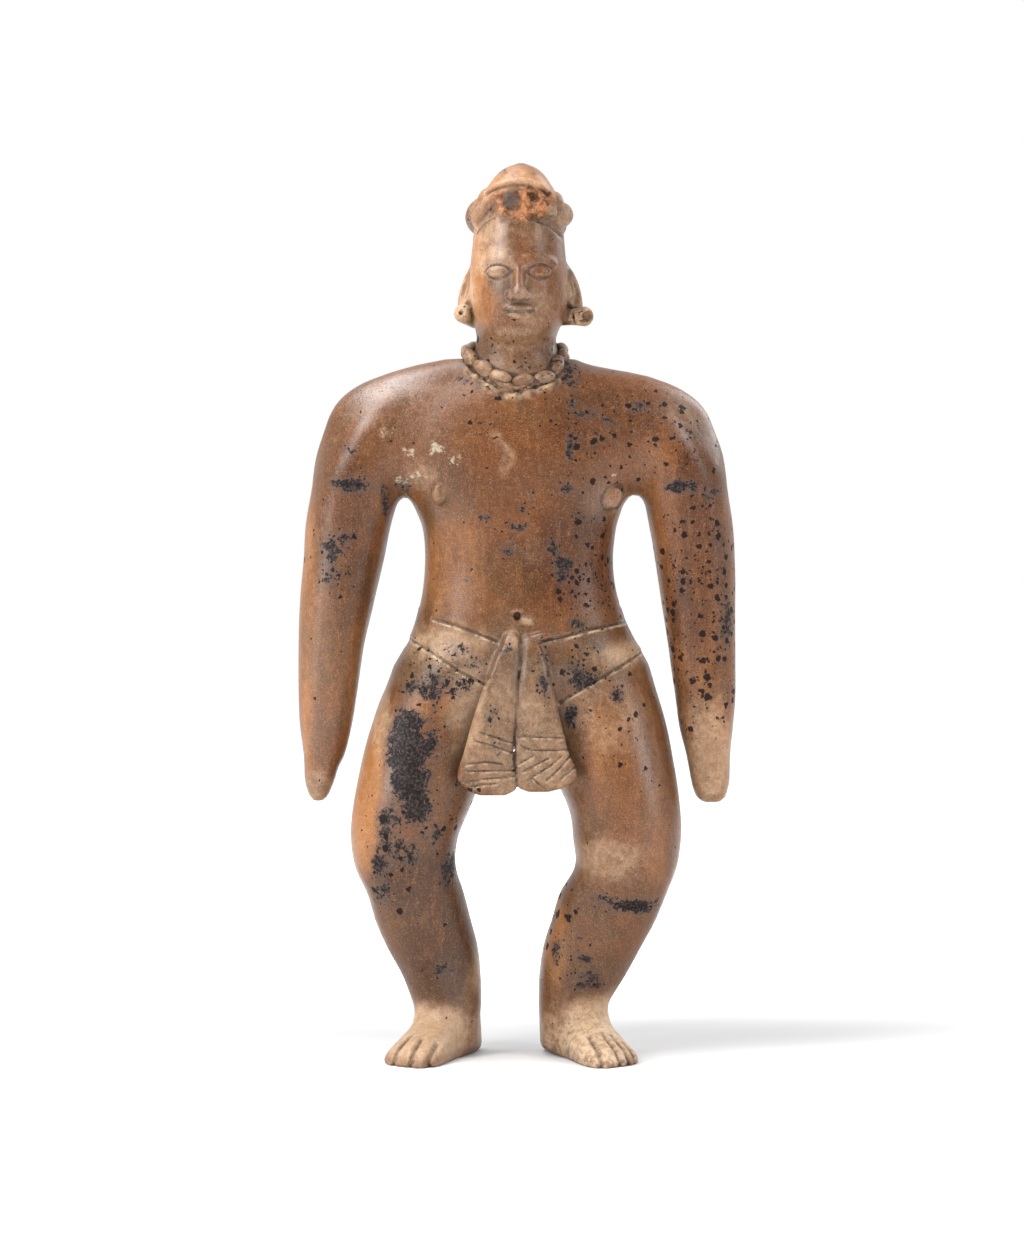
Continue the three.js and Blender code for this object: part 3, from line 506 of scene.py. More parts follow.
def rounded_end(side, end):
    """Distance to a shape from the distances to its side and to its end."""
    return np.minimum(np.maximum(side, end), 0) + np.hypot(np.maximum(side, 0), np.maximum(end, 0))


def join(a, b, fillet):
    """The nearer of two distances, with the corner between them filled."""
    h = np.maximum(fillet - np.abs(a - b), 0) / fillet
    return np.minimum(a, b) - h * h * fillet / 4


def carve(a, b, fillet):
    """The first shape with the second taken out of it."""
    return -join(-a, b, fillet)


def lump(middle, halves, turn=(0, 0, 0)):
    """Distance to an egg of clay, turned about x, y and z in degrees."""
    back = np.array(Euler([math.radians(a) for a in turn]).to_matrix().inverted())
    halves = np.array(halves, float)
    middle = np.array(middle, float)

    def distance(p):
        q = (p - middle) @ back.T
        k0 = np.linalg.norm(q / halves, axis=1)
        k1 = np.linalg.norm(q / halves**2, axis=1)
        return k0 * (k0 - 1) / np.maximum(k1, 1e-6)

    reach = halves.max()
    return near(distance, middle - reach, middle + reach, 8)


def curve_points(points, count, closed=False):
    """Evenly numbered places on a smooth curve through the points."""
    p = np.array(points, float)
    n = len(p)
    s = np.linspace(0, n if closed else n - 1, count, endpoint=not closed)
    i = np.minimum(s.astype(int), n - 1 if closed else n - 2)
    t = (s - i)[:, None]

    def pick(k):
        return p[k % n] if closed else p[np.clip(k, 0, n - 1)]

    a, b, c, d = pick(i - 1), pick(i), pick(i + 1), pick(i + 2)
    return 0.5 * (2 * b + (c - a) * t + (2 * a - 5 * b + 4 * c - d) * t**2 + (3 * b - a - 3 * c + d) * t**3)


def to_line(p, path):
    """Distance from each point to a chain of straight pieces, and how far along it the nearest place is."""
    best = np.full(len(p), 1e9)
    along = np.zeros(len(p))
    for n, (a, b) in enumerate(zip(path[:-1], path[1:])):
        ab = b - a
        t = np.clip(((p - a) @ ab) / max(ab @ ab, 1e-9), 0, 1)
        d = np.linalg.norm(p - a - t[:, None] * ab, axis=1)
        closer = d < best
        best[closer] = d[closer]
        along[closer] = (n + t[closer]) / (len(path) - 1)
    return best, along


def rod(points, radii, count=10):
    """Distance to a rod along a smooth curve, with a radius at each end."""
    path = curve_points(points, count)

    def distance(p):
        d, along = to_line(p, path)
        return d - (radii[0] + (radii[1] - radii[0]) * along)

    return near(distance, path.min(0) - max(radii), path.max(0) + max(radii), 8)


def value_noise(p, size, seed=0):
    """Smooth noise from -1 to 1 whose lumps are about the given size."""
    q = p / size
    base = np.floor(q).astype(np.int64)
    w = q - base
    w = w * w * (3 - 2 * w)
    total = np.zeros(len(p))
    for corner in range(8):
        step = np.array([corner & 1, (corner >> 1) & 1, (corner >> 2) & 1])
        k = base + step
        n = (k[:, 0] * 374761393 + k[:, 1] * 668265263 + k[:, 2] * 1440662683 + seed * 974711) & 0xFFFFFFFF
        n = ((n ^ (n >> 13)) * 1274126177) & 0xFFFFFFFF
        n = (n ^ (n >> 16)) & 0xFFFF
        weight = np.prod(np.where(step, w, 1 - w), axis=1)
        total += weight * (n / 32767.5 - 1)
    return total


TRUNK_SHAPE = limb(TRUNK, 2.3)
SHOULDER_SHAPE = limb(SHOULDERS, 2.3)
NECK_SHAPE = limb(NECK, 2)
HEAD_SHAPE = limb(HEAD, 2.2)
ARM_SHAPES = [limb(LEFT_ARM), limb(RIGHT_ARM)]
LEG_SHAPES = [limb(LEFT_LEG), limb(RIGHT_LEG)]
FOOT_SHAPES = [foot(**LEFT_FOOT), foot(**RIGHT_FOOT)]
FLAP_SHAPES = [flap(LEFT_FLAP), flap(RIGHT_FLAP)]


def bare_skin(p):
    """Distance to the bare body and head."""
    upper = join(TRUNK_SHAPE(p), SHOULDER_SHAPE(p), 9)
    for arm in ARM_SHAPES:
        upper = join(upper, arm(p), 7)
    left, right = (join(leg(p), toes(p), 8) for leg, toes in zip(LEG_SHAPES, FOOT_SHAPES))
    body = join(upper, join(left, right, 3), 7)
    return join(body, join(NECK_SHAPE(p), HEAD_SHAPE(p), 5), 6)


def face_front(x, z, shape=bare_skin):
    """How deep a shape's front is on lines of sight from the front."""
    x, z = np.atleast_1d(x).astype(float), np.atleast_1d(z).astype(float)
    outside, inside = np.full(len(x), -60.0), np.zeros(len(x))
    for _ in range(22):
        middle = (outside + inside) / 2
        within = shape(np.column_stack([x, middle, z])) < 0
        inside = np.where(within, middle, inside)
        outside = np.where(within, outside, middle)
    return inside


def on_front(points, out=0.0, shape=bare_skin):
    """Points on a shape's front, or in front of it, from their x and z as seen from the front."""
    flat = np.array(points, float)
    return np.column_stack([flat[:, 0], face_front(flat[:, 0], flat[:, 1], shape) - out, flat[:, 1]])


def skin_with(*pieces):
    """The bare skin with pieces of clay joined to it, each given with the width of its soft corner."""

    def distance(p):
        d = bare_skin(p)
        for shape, fillet in pieces:
            d = join(d, shape(p), fillet)
        return d

    return distance


def roll_strands(p):
    """Distance to the two twisted strands of the headband's roll."""
    x, y, z = (p[:, n] - ROLL["middle"][n] for n in range(3))
    round_head = np.mod(np.arctan2(x / ROLL["half"][0], -y / ROLL["half"][1]), 2 * math.pi)
    ring = np.hypot(np.sin(round_head) * ROLL["half"][0], np.cos(round_head) * ROLL["half"][1])
    out = np.hypot(x, y) - ring
    up = z - ROLL["rise"] * np.cos(round_head)
    start = math.radians(ROLL["from"])
    stop = start + math.radians(ROLL["span"])
    end = np.maximum(start - round_head, round_head - stop) * ring
    s = np.clip((round_head - start) / (stop - start), 0, 1)
    radius = ROLL["strand"] * np.minimum(1, 0.55 + 6 * np.minimum(s, 1 - s))
    nearest = np.full(len(p), 1e9)
    for shift in (0, math.pi):
        twist = ROLL["phase"] + shift + ROLL["twists"] * round_head
        rise = ROLL["wrap"] * np.sin(twist)
        away = ROLL["wrap"] * np.cos(twist) - ROLL["lean"] * rise
        side = np.hypot(out - away, up - rise) - radius
        strokes = 0.12 * np.cos(2 * math.pi * (up - 0.8 * out + 3.5 * round_head) / 1.5)
        side = side + strokes * np.clip((x - 8) / 5, 0, 1)
        nearest = join(nearest, rounded_end(side, end), 0.8)
    return nearest * 0.86


ROLL_SHAPE = near(roll_strands, (-27, -34, 384), (29, 34, 412), 8)


def scar_lumps(p):
    """Distance to the rough clay where the front of the roll broke off."""
    d = lump((1.4, -20.4, 400.6), (13, 6, 7))(p)
    for middle, halves, turn in SCAR_LUMPS:
        d = join(d, lump(middle, halves, (0, turn, 0))(p), 1.6)
    for middle, halves, turn, fillet in SCAR_PITS:
        d = carve(d, lump(middle, halves, (0, turn, 0))(p), fillet)
    rough = 1.0 * value_noise(p, 3.6, 3) + 0.42 * value_noise(p, 1.5, 4)
    return d + rough


SCAR_SHAPE = near(scar_lumps, (-16, -30, 388), (20, -8, 413), 8)


def head_details():
    """Shapes added to the head and shapes cut from it, each with the width of its soft corner."""
    mid, eyes, gap = FACE["middle"], FACE["eyes"], FACE["eye_gap"]
    added = [
        (rod([(mid, -23.4, 379), (mid, -27.6, 371), (mid, -30.4, 364), (mid, -32, 359)], (1.8, 3.0)), 2.6),
        (lump((mid, -31.6, 358.4), (3.7, 3.9, 3.2)), 1.6),
        (lump((mid, -20.2, 342.6), (7.6, 5.2, 4.6)), 6.0),
    ]
    cuts = []
    for side in (-1, 1):
        added.append((lump((mid + side * 3.7, -29.2, 357.6), (2.4, 3.2, 2.3)), 1.1))
        cuts.append((lump((mid + side * 2.4, -31, 355.2), (1.1, 1.7, 0.8)), 0.5))
        x = mid + side * gap
        front = float(face_front(x, eyes)[0])
        eyeball = (lump((x, front + 0.8, eyes), (5.6, 2.7, 2.9), (0, 0, side * 14)), 0.7)
        added.append(eyeball)
        brow = [(x + side * a, eyes + 6.2 - 0.045 * (a + 1) ** 2) for a in (-6, -2, 2, 6)]
        added.append((rod(on_front(brow, -0.9), (1.5, 1.0)), 3.6))
        for above in (1, -1):
            arch = [(x + a * 6.5, eyes + above * 3.3 * (1 - a * a) ** 1.1) for a in np.linspace(-1, 1, 9)]
            cuts.append((rod(on_front(arch, -0.1), (0.5, 0.5), 12), 0.4))
        slit = [(x + a * 5.2, eyes - 0.3 + 0.5 * a * a) for a in np.linspace(-1, 1, 9)]
        cuts.append((rod(on_front(slit, 0.1, skin_with(eyeball)), (0.52, 0.52), 12), 0.3))
    mouth = FACE["mouth"]
    front = float(face_front(mid, mouth)[0])
    lips = [(lump((mid, front + 0.3, mouth + 1.6), (6.6, 2.8, 1.9)), 1.1),
            (lump((mid, front + 0.4, mouth - 1.8), (5.8, 3.0, 2.2)), 1.1)]
    added.extend(lips)
    line = [(mid + a * 6.8, mouth - 0.2 + 0.5 * a * a) for a in np.linspace(-1, 1, 9)]
    cuts.append((rod(on_front(line, 0.0, skin_with(*lips)), (0.75, 0.75), 12), 0.3))
    # The line under the headband, on either side of the break
    for hair, radii, fillet in (([(-19, 386), (-15.4, 391), (-9, 394.2), (-4, 394.6)], (0.55, 0.4), 0.5),
                                ([(5.3, 393.4), (12.5, 391.4), (17.2, 388.4), (21.4, 385)], (0.9, 0.8), 0.6)):
        cuts.append((rod(on_front(hair), radii, 12), fillet))
    # Ears and their spools, the arch of clay left above the break, and the roll's upper turns beside it
    arch = [(-15, 402.5), (-12, 406.6), (-6, 409.6), (3.4, 410.4), (11.3, 407.2), (18.4, 401)]
    added += [
        (lump((-22.6, 3, 360), (4.2, 3.4, 13), (0, 15, 0)), 2.0),
        (lump((25.4, 3, 360), (4.4, 3.4, 13.5), (0, -15, 0)), 2.0),
        (rod([(-19.5, 6, 347), (-22.5, 0, 348.4), (-25, -6, 349.6)], (4.2, 4.5)), 1.2),
        (rod([(19, -2, 347), (26, -3, 348), (31.2, -3.6, 348.3)], (3, 4.7)), 1.2),
        (rod(on_front(arch, 1.0), (1.9, 2.2), 16), 1.2),
        (lump((-15, -12.4, 402.8), (3.3, 5.4, 5.2), (0, 22, 0)), 1.4),
        (lump((18.4, -11.6, 402), (3.2, 5.6, 4.6), (0, -24, 0)), 1.4),
    ]
    # Hollows of the ears, the spools' bores, the gap above the right spool, and the groove in the roll
    cuts += [
        (lump((-24.6, 0.2, 361), (2.2, 2.4, 7.5), (0, 15, 0)), 1.0),
        (lump((27.6, 0.2, 362), (2.2, 2.4, 7), (0, -15, 0)), 1.0),
        (rod([(-24, -3, 349.2), (-25, -6, 349.6), (-26.6, -11, 350)], (0.8, 1.1)), 0.4),
        (rod([(27, -3.6, 348), (31.6, -5, 348.3), (36, -6.5, 348.5)], (1.4, 3.2)), 0.6),
        (lump((27.4, -1.4, 356.4), (2.4, 3.6, 3)), 0.8),
        (rod(on_front([(-11.6, 409), (-12.8, 404), (-12, 398)], 0.6), (0.5, 0.8), 10), 0.5),
    ]
    return added, cuts


def body_details():
    """Shapes added to the body and shapes cut from it."""
    smear = rod(on_front(SMEAR, 0.1), (1.3, 1.5), 24)
    crumbs = rod(on_front(SMEAR_UPPER, 0.6), (1.5, 1.9), 24)
    # Nipples, the clay beside the right flap's top, and the clay smeared under the beads
    added = [
        (lump(on_front([(-35.8, 265.2)])[0], (4.2, 3.6, 5.2), (0, -12, 0)), 0.9),
        (lump(on_front([RIGHT_NIPPLE], 0.7)[0], (4.2, 2.3, 5.2), (0, 20, 0)), 0.25),
        (lump((11, -34.6, 199.6), (6, 2.8, 2.2), (0, -12, 0)), 0.8),
        (lambda p: smear(p) + 0.8 * value_noise(p, 2.2, 21), 0.6),
        (lambda p: crumbs(p) + 1.2 * value_noise(p, 2.6, 23), 0.5),
    ]
    # The navel and the scoop beside it, the ring round the right nipple, and the gap between the flaps
    cuts = [
        (lump(on_front([(3.6, 207.6)])[0] + (0, -0.2, 0), (4.6, 1.7, 2.5), (0, 26, 0)), 0.9),
        (lump(on_front([(0.1, 209)])[0] + (0, -0.3, 0), (1.9, 4.4, 2.1)), 0.5),
        (rod(on_front(NIPPLE_RING, 0.1), (0.55, 0.55), 40), 0.4),
        (rod(BETWEEN_FLAPS, (1.2, 1.0), 16), 0.8),
    ]
    return added, cuts


def bell(distance, width):
    """1 at no distance, falling softly to 0 beyond the width."""
    return np.exp(-((distance / width) ** 2))


def flat_line(p, points, plane=FROM_FRONT):
    """Distance to a drawn line seen along one axis."""
    path = curve_points(points, max(12, 4 * len(points)))
    q = p[:, plane]
    result = np.full(len(p), 99.0)
    low, high = path.min(0) - 5, path.max(0) + 5
    close = np.all((q > low) & (q < high), axis=1)
    if close.any():
        result[close] = to_line(q[close], path)[0]
    return result


def drawn_groove(distance, width, depth):
    """How much clay a drawn line takes away, with the burr that it pushes up along both sides."""
    return depth * bell(distance, width) - BURR * depth * bell(distance - 2 * width, width)


def dent(p, x, z, half_x, half_z, turn):
    """A smooth round place on the front, 1 at its middle and 0 outside."""
    dx, dz = p[:, 0] - x, p[:, 2] - z
    c, s = math.cos(math.radians(turn)), math.sin(math.radians(turn))
    u, v = (dx * c + dz * s) / half_x, (dz * c - dx * s) / half_z
    return np.exp(-(u * u + v * v)) * (p[:, 1] < 0)


def front_relief(p, line_depth):
    """Clay taken away from the front by drawn lines, dents and scratches, less than zero where it is raised.

    line_depth is the depth of the lines as a share of the usual one.
    """
    front = np.clip(-p[:, 1] / 6, 0, 1)
    gone = np.zeros(len(p))
    body = (p[:, 2] < 330) & (p[:, 1] < 2)
    q = p[body]
    taken = np.zeros(len(q))
    for line in BELT_LINES:
        taken += drawn_groove(flat_line(q, line), 0.75, BELT_DEPTH * line_depth)
    on_flap = q[:, 1] < -30
    for line in FLAP_LINES:
        taken += drawn_groove(flat_line(q, line), 0.55, 0.85 * line_depth) * on_flap
    for line in SCRATCHES:
        taken += 0.22 * bell(flat_line(q, line), 0.5)
    taken -= 0.4 * bell(flat_line(q, BREASTBONE), 2.2)
    for depth, *place in DENTS:
        taken += depth * dent(q, *place)
    gone[body] = taken
    return gone * front


def belt_band(p):
    """1 between the lower and the upper line of the belt, all the way round, and 0 away from it."""
    x = p[:, 0]
    front = p[:, 1] < 0
    top, low = (np.interp(x, *zip(*edge)) for edge in (BAND_TOP, BAND_LOW))
    top = np.where(front, top, np.interp(np.abs(x), [0, 45, 64], [214, 213, 212]))
    low = np.where(front, low, np.interp(np.abs(x), [0, 45, 64], [199, 200, 200]))
    return np.clip((top - p[:, 2]) / 1.2, 0, 1) * np.clip((p[:, 2] - low) / 1.2, 0, 1) * (np.abs(x) < 64)


def back_relief(p):
    """The belt's two lines carried round the back, and the furrow of the spine."""
    back = np.clip(p[:, 1] / 6, 0, 1)
    taken = np.zeros(len(p))
    body = (p[:, 2] > 120) & (p[:, 2] < 318) & (p[:, 1] > -4)
    q = p[body]
    here = np.zeros(len(q))
    for line in BELT_BEHIND:
        here += drawn_groove(flat_line(q, line), 0.75, 0.9)
    above_belt = np.clip((q[:, 2] - 218) / 20, 0, 1)
    below_neck = np.clip((312 - q[:, 2]) / 20, 0, 1)
    here += 1.5 * bell(q[:, 0], 7) * above_belt * below_neck
    taken[body] = here
    return taken * back


def by_toes(p):
    """Which points are near the toes."""
    return (p[:, 2] < 20) & (p[:, 1] < -14)


def toe_slots(p):
    """Clay taken away between the toes."""
    taken = np.zeros(len(p))
    low = by_toes(p)
    q = p[low]
    here = np.zeros(len(q))
    for n, line in enumerate(TOE_LINES):
        d = flat_line(q, line, FROM_ABOVE)
        wide = 1.15 if n == WIDE_SLOT else 0.85
        fade = np.clip((-17 - q[:, 1]) / 5, 0.15, 1)
        here += 1.5 * bell(d, wide) * fade - 0.25 * bell(d - 2.6, 1.2) * fade
    taken[low] = here
    return taken


class ClayField:
    """The whole figure as one distance field, with the settings' sizes."""

    def __init__(self, settings):
        self.line_depth = settings.line_depth / MM / BELT_DEPTH
        self.uneven = settings.unevenness / MM
        head_added, head_cuts = head_details()
        body_added, body_cuts = body_details()
        self.added = head_added + body_added
        self.cuts = head_cuts + body_cuts

    def __call__(self, p):
        f = bare_skin(p) - self.uneven * (value_noise(p, 31, 1) + 0.45 * value_noise(p, 13, 2))
        f = f - BAND_RISE * belt_band(p)
        x, y, z = p.T
        # The details are worked out close to the skin, round the hanging flaps and all over the head
        hanging = (np.abs(x) < 38) & (((y < -24) & (z > 118) & (z < 210)) | (z > 336))
        close = (np.abs(f) < 14) | hanging
        q = p[close]
        g = f[close]
        for shape in FLAP_SHAPES:
            g = join(g, shape(q), 1.1)
        g = join(g, ROLL_SHAPE(q), 1.4)
        g = join(g, SCAR_SHAPE(q), 1.2)
        for shape, fillet in self.added:
            g = join(g, shape(q), fillet)
        g = g + front_relief(q, self.line_depth) + back_relief(q) + toe_slots(q)
        for shape, fillet in self.cuts:
            g = carve(g, shape(q), fillet)
        f[close] = g
        return -join(-f, z, SOLE_EDGE)


# ---- Meshes from a field


def slope(field, p, h=0.12):
    """The steepest way out of a field at each point."""
    ways = np.array([[1, -1, -1], [-1, -1, 1], [-1, 1, -1], [1, 1, 1]], float)
    return sum(way * field(p + way * h)[:, None] for way in ways) / (4 * h)


def way_out(field, p):
    """The way straight out of the surface at each point, one unit long."""
    way = slope(field, p)
    return way / np.maximum(np.linalg.norm(way, axis=1), 1e-6)[:, None]


def settle(field, p, turns, most=1.2):
    """Moves points onto the surface of a field."""
    p = p.copy()
    for _ in range(turns):
        way = slope(field, p)
        step = field(p)[:, None] * way / np.maximum((way**2).sum(1), 0.2)[:, None]
        length = np.linalg.norm(step, axis=1)[:, None]
        p -= step * np.minimum(1, most / np.maximum(length, 1e-9))
    return p


def net_over(field, low, high, cell):
    """Covers the surface of a field with an even net of four-sided faces."""
    axes = [np.arange(a, b + cell, cell) for a, b in zip(low, high)]
    size = [len(a) for a in axes]
    grid = np.stack(np.meshgrid(*axes, indexing="ij"), -1).reshape(-1, 3)
    values = np.concatenate([field(part) for part in np.array_split(grid, 8)]).reshape(size)
    cells = [n - 1 for n in size]
    sums = np.zeros(cells + [3])
    counts = np.zeros(cells)
    edges = []
    for axis in range(3):
        first = [slice(None)] * 3
        second = [slice(None)] * 3
        first[axis], second[axis] = slice(0, -1), slice(1, None)
        here, there = values[tuple(first)], values[tuple(second)]
        crossed = np.argwhere((here < 0) != (there < 0))
        a = here[tuple(crossed.T)]
        b = there[tuple(crossed.T)]
        place = np.stack([axes[n][crossed[:, n]] for n in range(3)], 1)
        place[:, axis] += a / (a - b) * cell
        u, v = (axis + 1) % 3, (axis + 2) % 3
        around = []
        for du, dv in ((0, 0), (1, 0), (1, 1), (0, 1)):
            index = crossed.copy()
            index[:, u] -= du
            index[:, v] -= dv
            np.add.at(sums, tuple(index.T), place)
            np.add.at(counts, tuple(index.T), 1)
            around.append(index)
        edges.append((around, a < 0))
    used = counts > 0
    number = np.full(cells, -1)
    number[used] = np.arange(used.sum())
    knots = sums[used] / counts[used][:, None]
    faces = []
    for around, outward in edges:
        ring = np.stack([number[tuple(index.T)] for index in around], 1)
        faces.append(np.where(outward[:, None], ring, ring[:, ::-1]))
    return settle(field, knots, 3), np.concatenate(faces)


def wanted_length(p):
    """How long the edges of the net may be at each point, in millimetres."""
    x, y, z = p.T
    length = np.full(len(p), PLAIN_LENGTH)

    def region(where, value):
        length[where] = np.minimum(length[where], value)

    for value, x_low, x_high, front_of, z_low, z_high in FINE_BOXES:
        region((x > x_low) & (x < x_high) & (y < front_of) & (z > z_low) & (z < z_high), value)
    for value, reach, at_x, at_z in FINE_ROUNDS:
        region((np.hypot(x - at_x, z - at_z) < reach) & (y < 0), value)
    region((flat_line(p, SMEAR) < 4) & (y < 0), 0.8)
    region((flat_line(p, BREASTBONE) < 4.8) & (y < 0), 1.1)
    for line in BELT_LINES:
        region((flat_line(p, line) < 2.6) & (y < 0), 0.8)
    for line in BELT_BEHIND:
        region((flat_line(p, line) < 2.6) & (y > 0), 1.0)
    for line in TOE_LINES:
        region((flat_line(p, line, FROM_ABOVE) < 2.8) & by_toes(p), 0.8)
    return length


def refine(points, faces, cell, field):
    """Splits the net where finer modelling needs it, and settles the new knots."""
    mesh = bmesh.new()
    knots = [mesh.verts.new(p) for p in points]
    for face in faces:
        mesh.faces.new([knots[n] for n in face])
    for _ in range(SPLITS):
        cell /= 2
        mesh.faces.ensure_lookup_table()
        middles = np.array([face.calc_center_median() for face in mesh.faces])
        split = wanted_length(middles) < cell * 1.5
        chosen = {edge for n in np.flatnonzero(split) for edge in mesh.faces[n].edges
                  if edge.calc_length() > cell * 1.2}
        bmesh.ops.subdivide_edges(mesh, edges=list(chosen), cuts=1, use_grid_fill=True)
        many = [face for face in mesh.faces if len(face.verts) > 4]
        bmesh.ops.triangulate(mesh, faces=many)
        mesh.verts.index_update()
        p = settle(field, np.array([v.co for v in mesh.verts]), 2)
        ends = np.array([[v.index for v in edge.verts] for edge in mesh.edges])
        p = even_out(field, p, ends)
        for v, place in zip(mesh.verts, p):
            v.co = place
    return mesh


def even_out(field, p, ends):
    """Slides knots along the surface so that they lie evenly, then settles them again."""
    total = np.zeros_like(p)
    count = np.zeros(len(p))
    for a, b in ((0, 1), (1, 0)):
        np.add.at(total, ends[:, a], p[ends[:, b]])
        np.add.at(count, ends[:, a], 1)
    move = total / count[:, None] - p
    way = way_out(field, p)
    move -= (move * way).sum(1)[:, None] * way
    return settle(field, p + 0.45 * move, 2)


# ---- Marks on the clay, kept as values on the mesh's points


def patches(p, places, soft=0.0):
    """Strength of the strongest round patch at each point of the front."""
    best = np.zeros(len(p))
    front = np.clip((8 - p[:, 1]) / 10, 0, 1)
    for x, z, half_x, half_z, strength in places:
        r = np.sqrt(((p[:, 0] - x) / half_x) ** 2 + ((p[:, 2] - z) / half_z) ** 2)
        best = np.maximum(best, strength * np.clip(1.45 - r + soft, 0, 1) ** 1.3)
    return np.clip(best, 0, 1) * front


def read_points(mesh, name):
    """A vector of each of a mesh's points, such as its place or its normal."""
    values = np.empty(len(mesh.vertices) * 3)
    mesh.vertices.foreach_get(name, values)
    return values.reshape(-1, 3)


def write_values(mesh, values):
    """Keeps named values on a mesh's points, where the clay's material reads them."""
    for name, value in values.items():
        layer = mesh.attributes.new(name, "FLOAT", "POINT")
        layer.data.foreach_set("value", value.astype(np.float32))


def line_marks(p):
    """How pale the lips of drawn lines are, how dirty the lines, with painted shade in the ring round the right
    nipple, and how smeared with pale clay the chest.
    """
    x, y, z = p.T
    lip, dirt, smeared = np.zeros((3, len(p)))
    toes = by_toes(p)
    for line in TOE_LINES:
        dirt[toes] = np.maximum(dirt[toes], 0.75 * bell(flat_line(p[toes], line, FROM_ABOVE), 1.1))
    below = (y < 0) & (z < 212) & (z > 124)
    q = p[below]
    lips, dark = np.zeros((2, len(q)))
    for line in BELT_LINES:
        lips = np.maximum(lips, 0.75 * bell(flat_line(q + (0, 0, 1.15), line), 0.5))
        dark = np.maximum(dark, bell(flat_line(q, line), 0.6))
    on_flap = q[:, 1] < -33
    for line in FLAP_LINES:
        lips = np.maximum(lips, 0.6 * bell(flat_line(q + (0, 0, 0.8), line), 0.4) * on_flap)
        dark = np.maximum(dark, bell(flat_line(q, line), 0.4) * on_flap)
    lip[below], dirt[below] = lips, dark
    behind = (y > 4) & (z > 192) & (z < 220)
    for line in BELT_BEHIND:
        dirt[behind] = np.maximum(dirt[behind], 0.8 * bell(flat_line(p[behind], line), 0.6))
    chest = (y < 0) & (z > 250) & (z < 330)
    q = p[chest]
    patchy = np.clip(0.62 + 0.7 * value_noise(q, 2.6, 22), 0.1, 1)
    from_smear = flat_line(q, SMEAR)
    smeared[chest] = 0.5 * patchy * bell(from_smear, 2.2) + 0.4 * bell(flat_line(q, BREASTBONE), 2.6)
    # Dirt with painted shade in the groove round the right nipple, and dark specks beside the smear
    dirt[chest] = 0.8 * bell(flat_line(q, NIPPLE_RING), 0.8) + 1.1 * (1 - patchy) * bell(from_smear, 4)
    return lip, dirt, smeared


def mark_clay(mesh, p, field):
    """Writes how stained, pale, worn or raw the clay is at each point of the figure, with its painted shade and
    painted highlights.
    """
    way = way_out(field, p)
    string = curve_points(NECKLACE, 40, closed=True)

    def around(q):
        return np.minimum(field(q), to_line(q, string)[0] - STRING_RADIUS)

    # How closed in each point is, close by and further off, counting the beads: painted shade in creases, and
    # dirt with painted shade in hollows
    crease_shade = np.clip(1 - around(p + way * 1.2) / 1.2, 0, 1)
    hollow_dirt_and_shade = np.clip(1 - around(p + way * 5) / 5, 0, 1)
    ridge = np.clip(1 + field(p - way * 2.2) / 2.2, 0, 1)
    behind = (p[:, 1] > 4) * 0.5 * np.clip(value_noise(p, 34, 8) * 1.6 - 0.25, 0, 1)
    x, y, z = p.T
    scar = np.clip(1.6 - np.sqrt(((x - 3.2) / 14) ** 2 + ((z - 400.4) / 8) ** 2), 0, 1) * (y < -17)
    raw = np.clip(3.2 * (scar - 0.42) + 0.7 * value_noise(p, 3, 12), 0, 1) * (scar > 0.05)
    core = np.clip(1.5 - np.sqrt(((x + 3) / 4.2) ** 2 + ((z - 402.4) / 5.2) ** 2), 0, 1) * (y < -17)
    lip, dirt, smeared = line_marks(p)
    worn_feet = patches(p, [(40, 8, 24, 12, 0.85), (-44, 6, 22, 8, 0.12)])
    # The inner sides of the feet, which face each other, get painted shade as less of the pale colour, and the
    # feet are darker along the ground
    shaded_inner_foot = np.clip((34 - z) / 6, 0, 1) * np.clip((30 - np.abs(x)) / 8, 0, 1)
    sole_edge = np.clip((8 - z) / 5, 0, 1)
    worn_low = 0.9 * np.clip((30 - z) / 22, 0, 1)
    pale = np.clip(patches(p, PALE_AND_HIGHLIGHT_PLACES, soft=0.1) + smeared + worn_low, 0, 1)
    back = y > 0
    deep = np.maximum(patches(p, DARK_AND_SHADED_PLACES, soft=0.2), back * np.clip(value_noise(p, 46, 14), 0, 0.7))
    write_values(mesh, {
        "stain": np.maximum(patches(p, MINERAL_STAINS), behind),
        "spots": np.maximum(patches(p, SPOT_FIELDS, soft=0.15), 0.7 * behind),
        "pale": pale * (1 - 0.55 * shaded_inner_foot) * (1 - 0.25 * sole_edge),
        "scuff": patches(p, SCUFFS),
        "dull": np.maximum(patches(p, DULL_PLACES, soft=0.2), back * np.clip((90 - z) / 60, 0, 0.7)),
        "deep": np.maximum(deep, 0.8 * sole_edge),
        "shine": np.maximum(patches(p, SHINE_PLACES, soft=0.2), back * 0.6),
        "warm_and_edge_highlight": np.maximum(patches(p, WARM_AND_EDGE_HIGHLIGHT_PLACES, soft=0.25), back * np.clip(value_noise(p, 40, 9), 0, 0.8)),
        "crease_shade": crease_shade,
        "hollow_dirt_and_shade": hollow_dirt_and_shade,
        "ridge": np.clip(ridge * 1.3, 0, 1),
        "raw": raw,
        "core": core,
        "cream": np.clip(np.maximum(lip, worn_feet), 0, 1),
        "line": dirt,
    })


# ---- Material


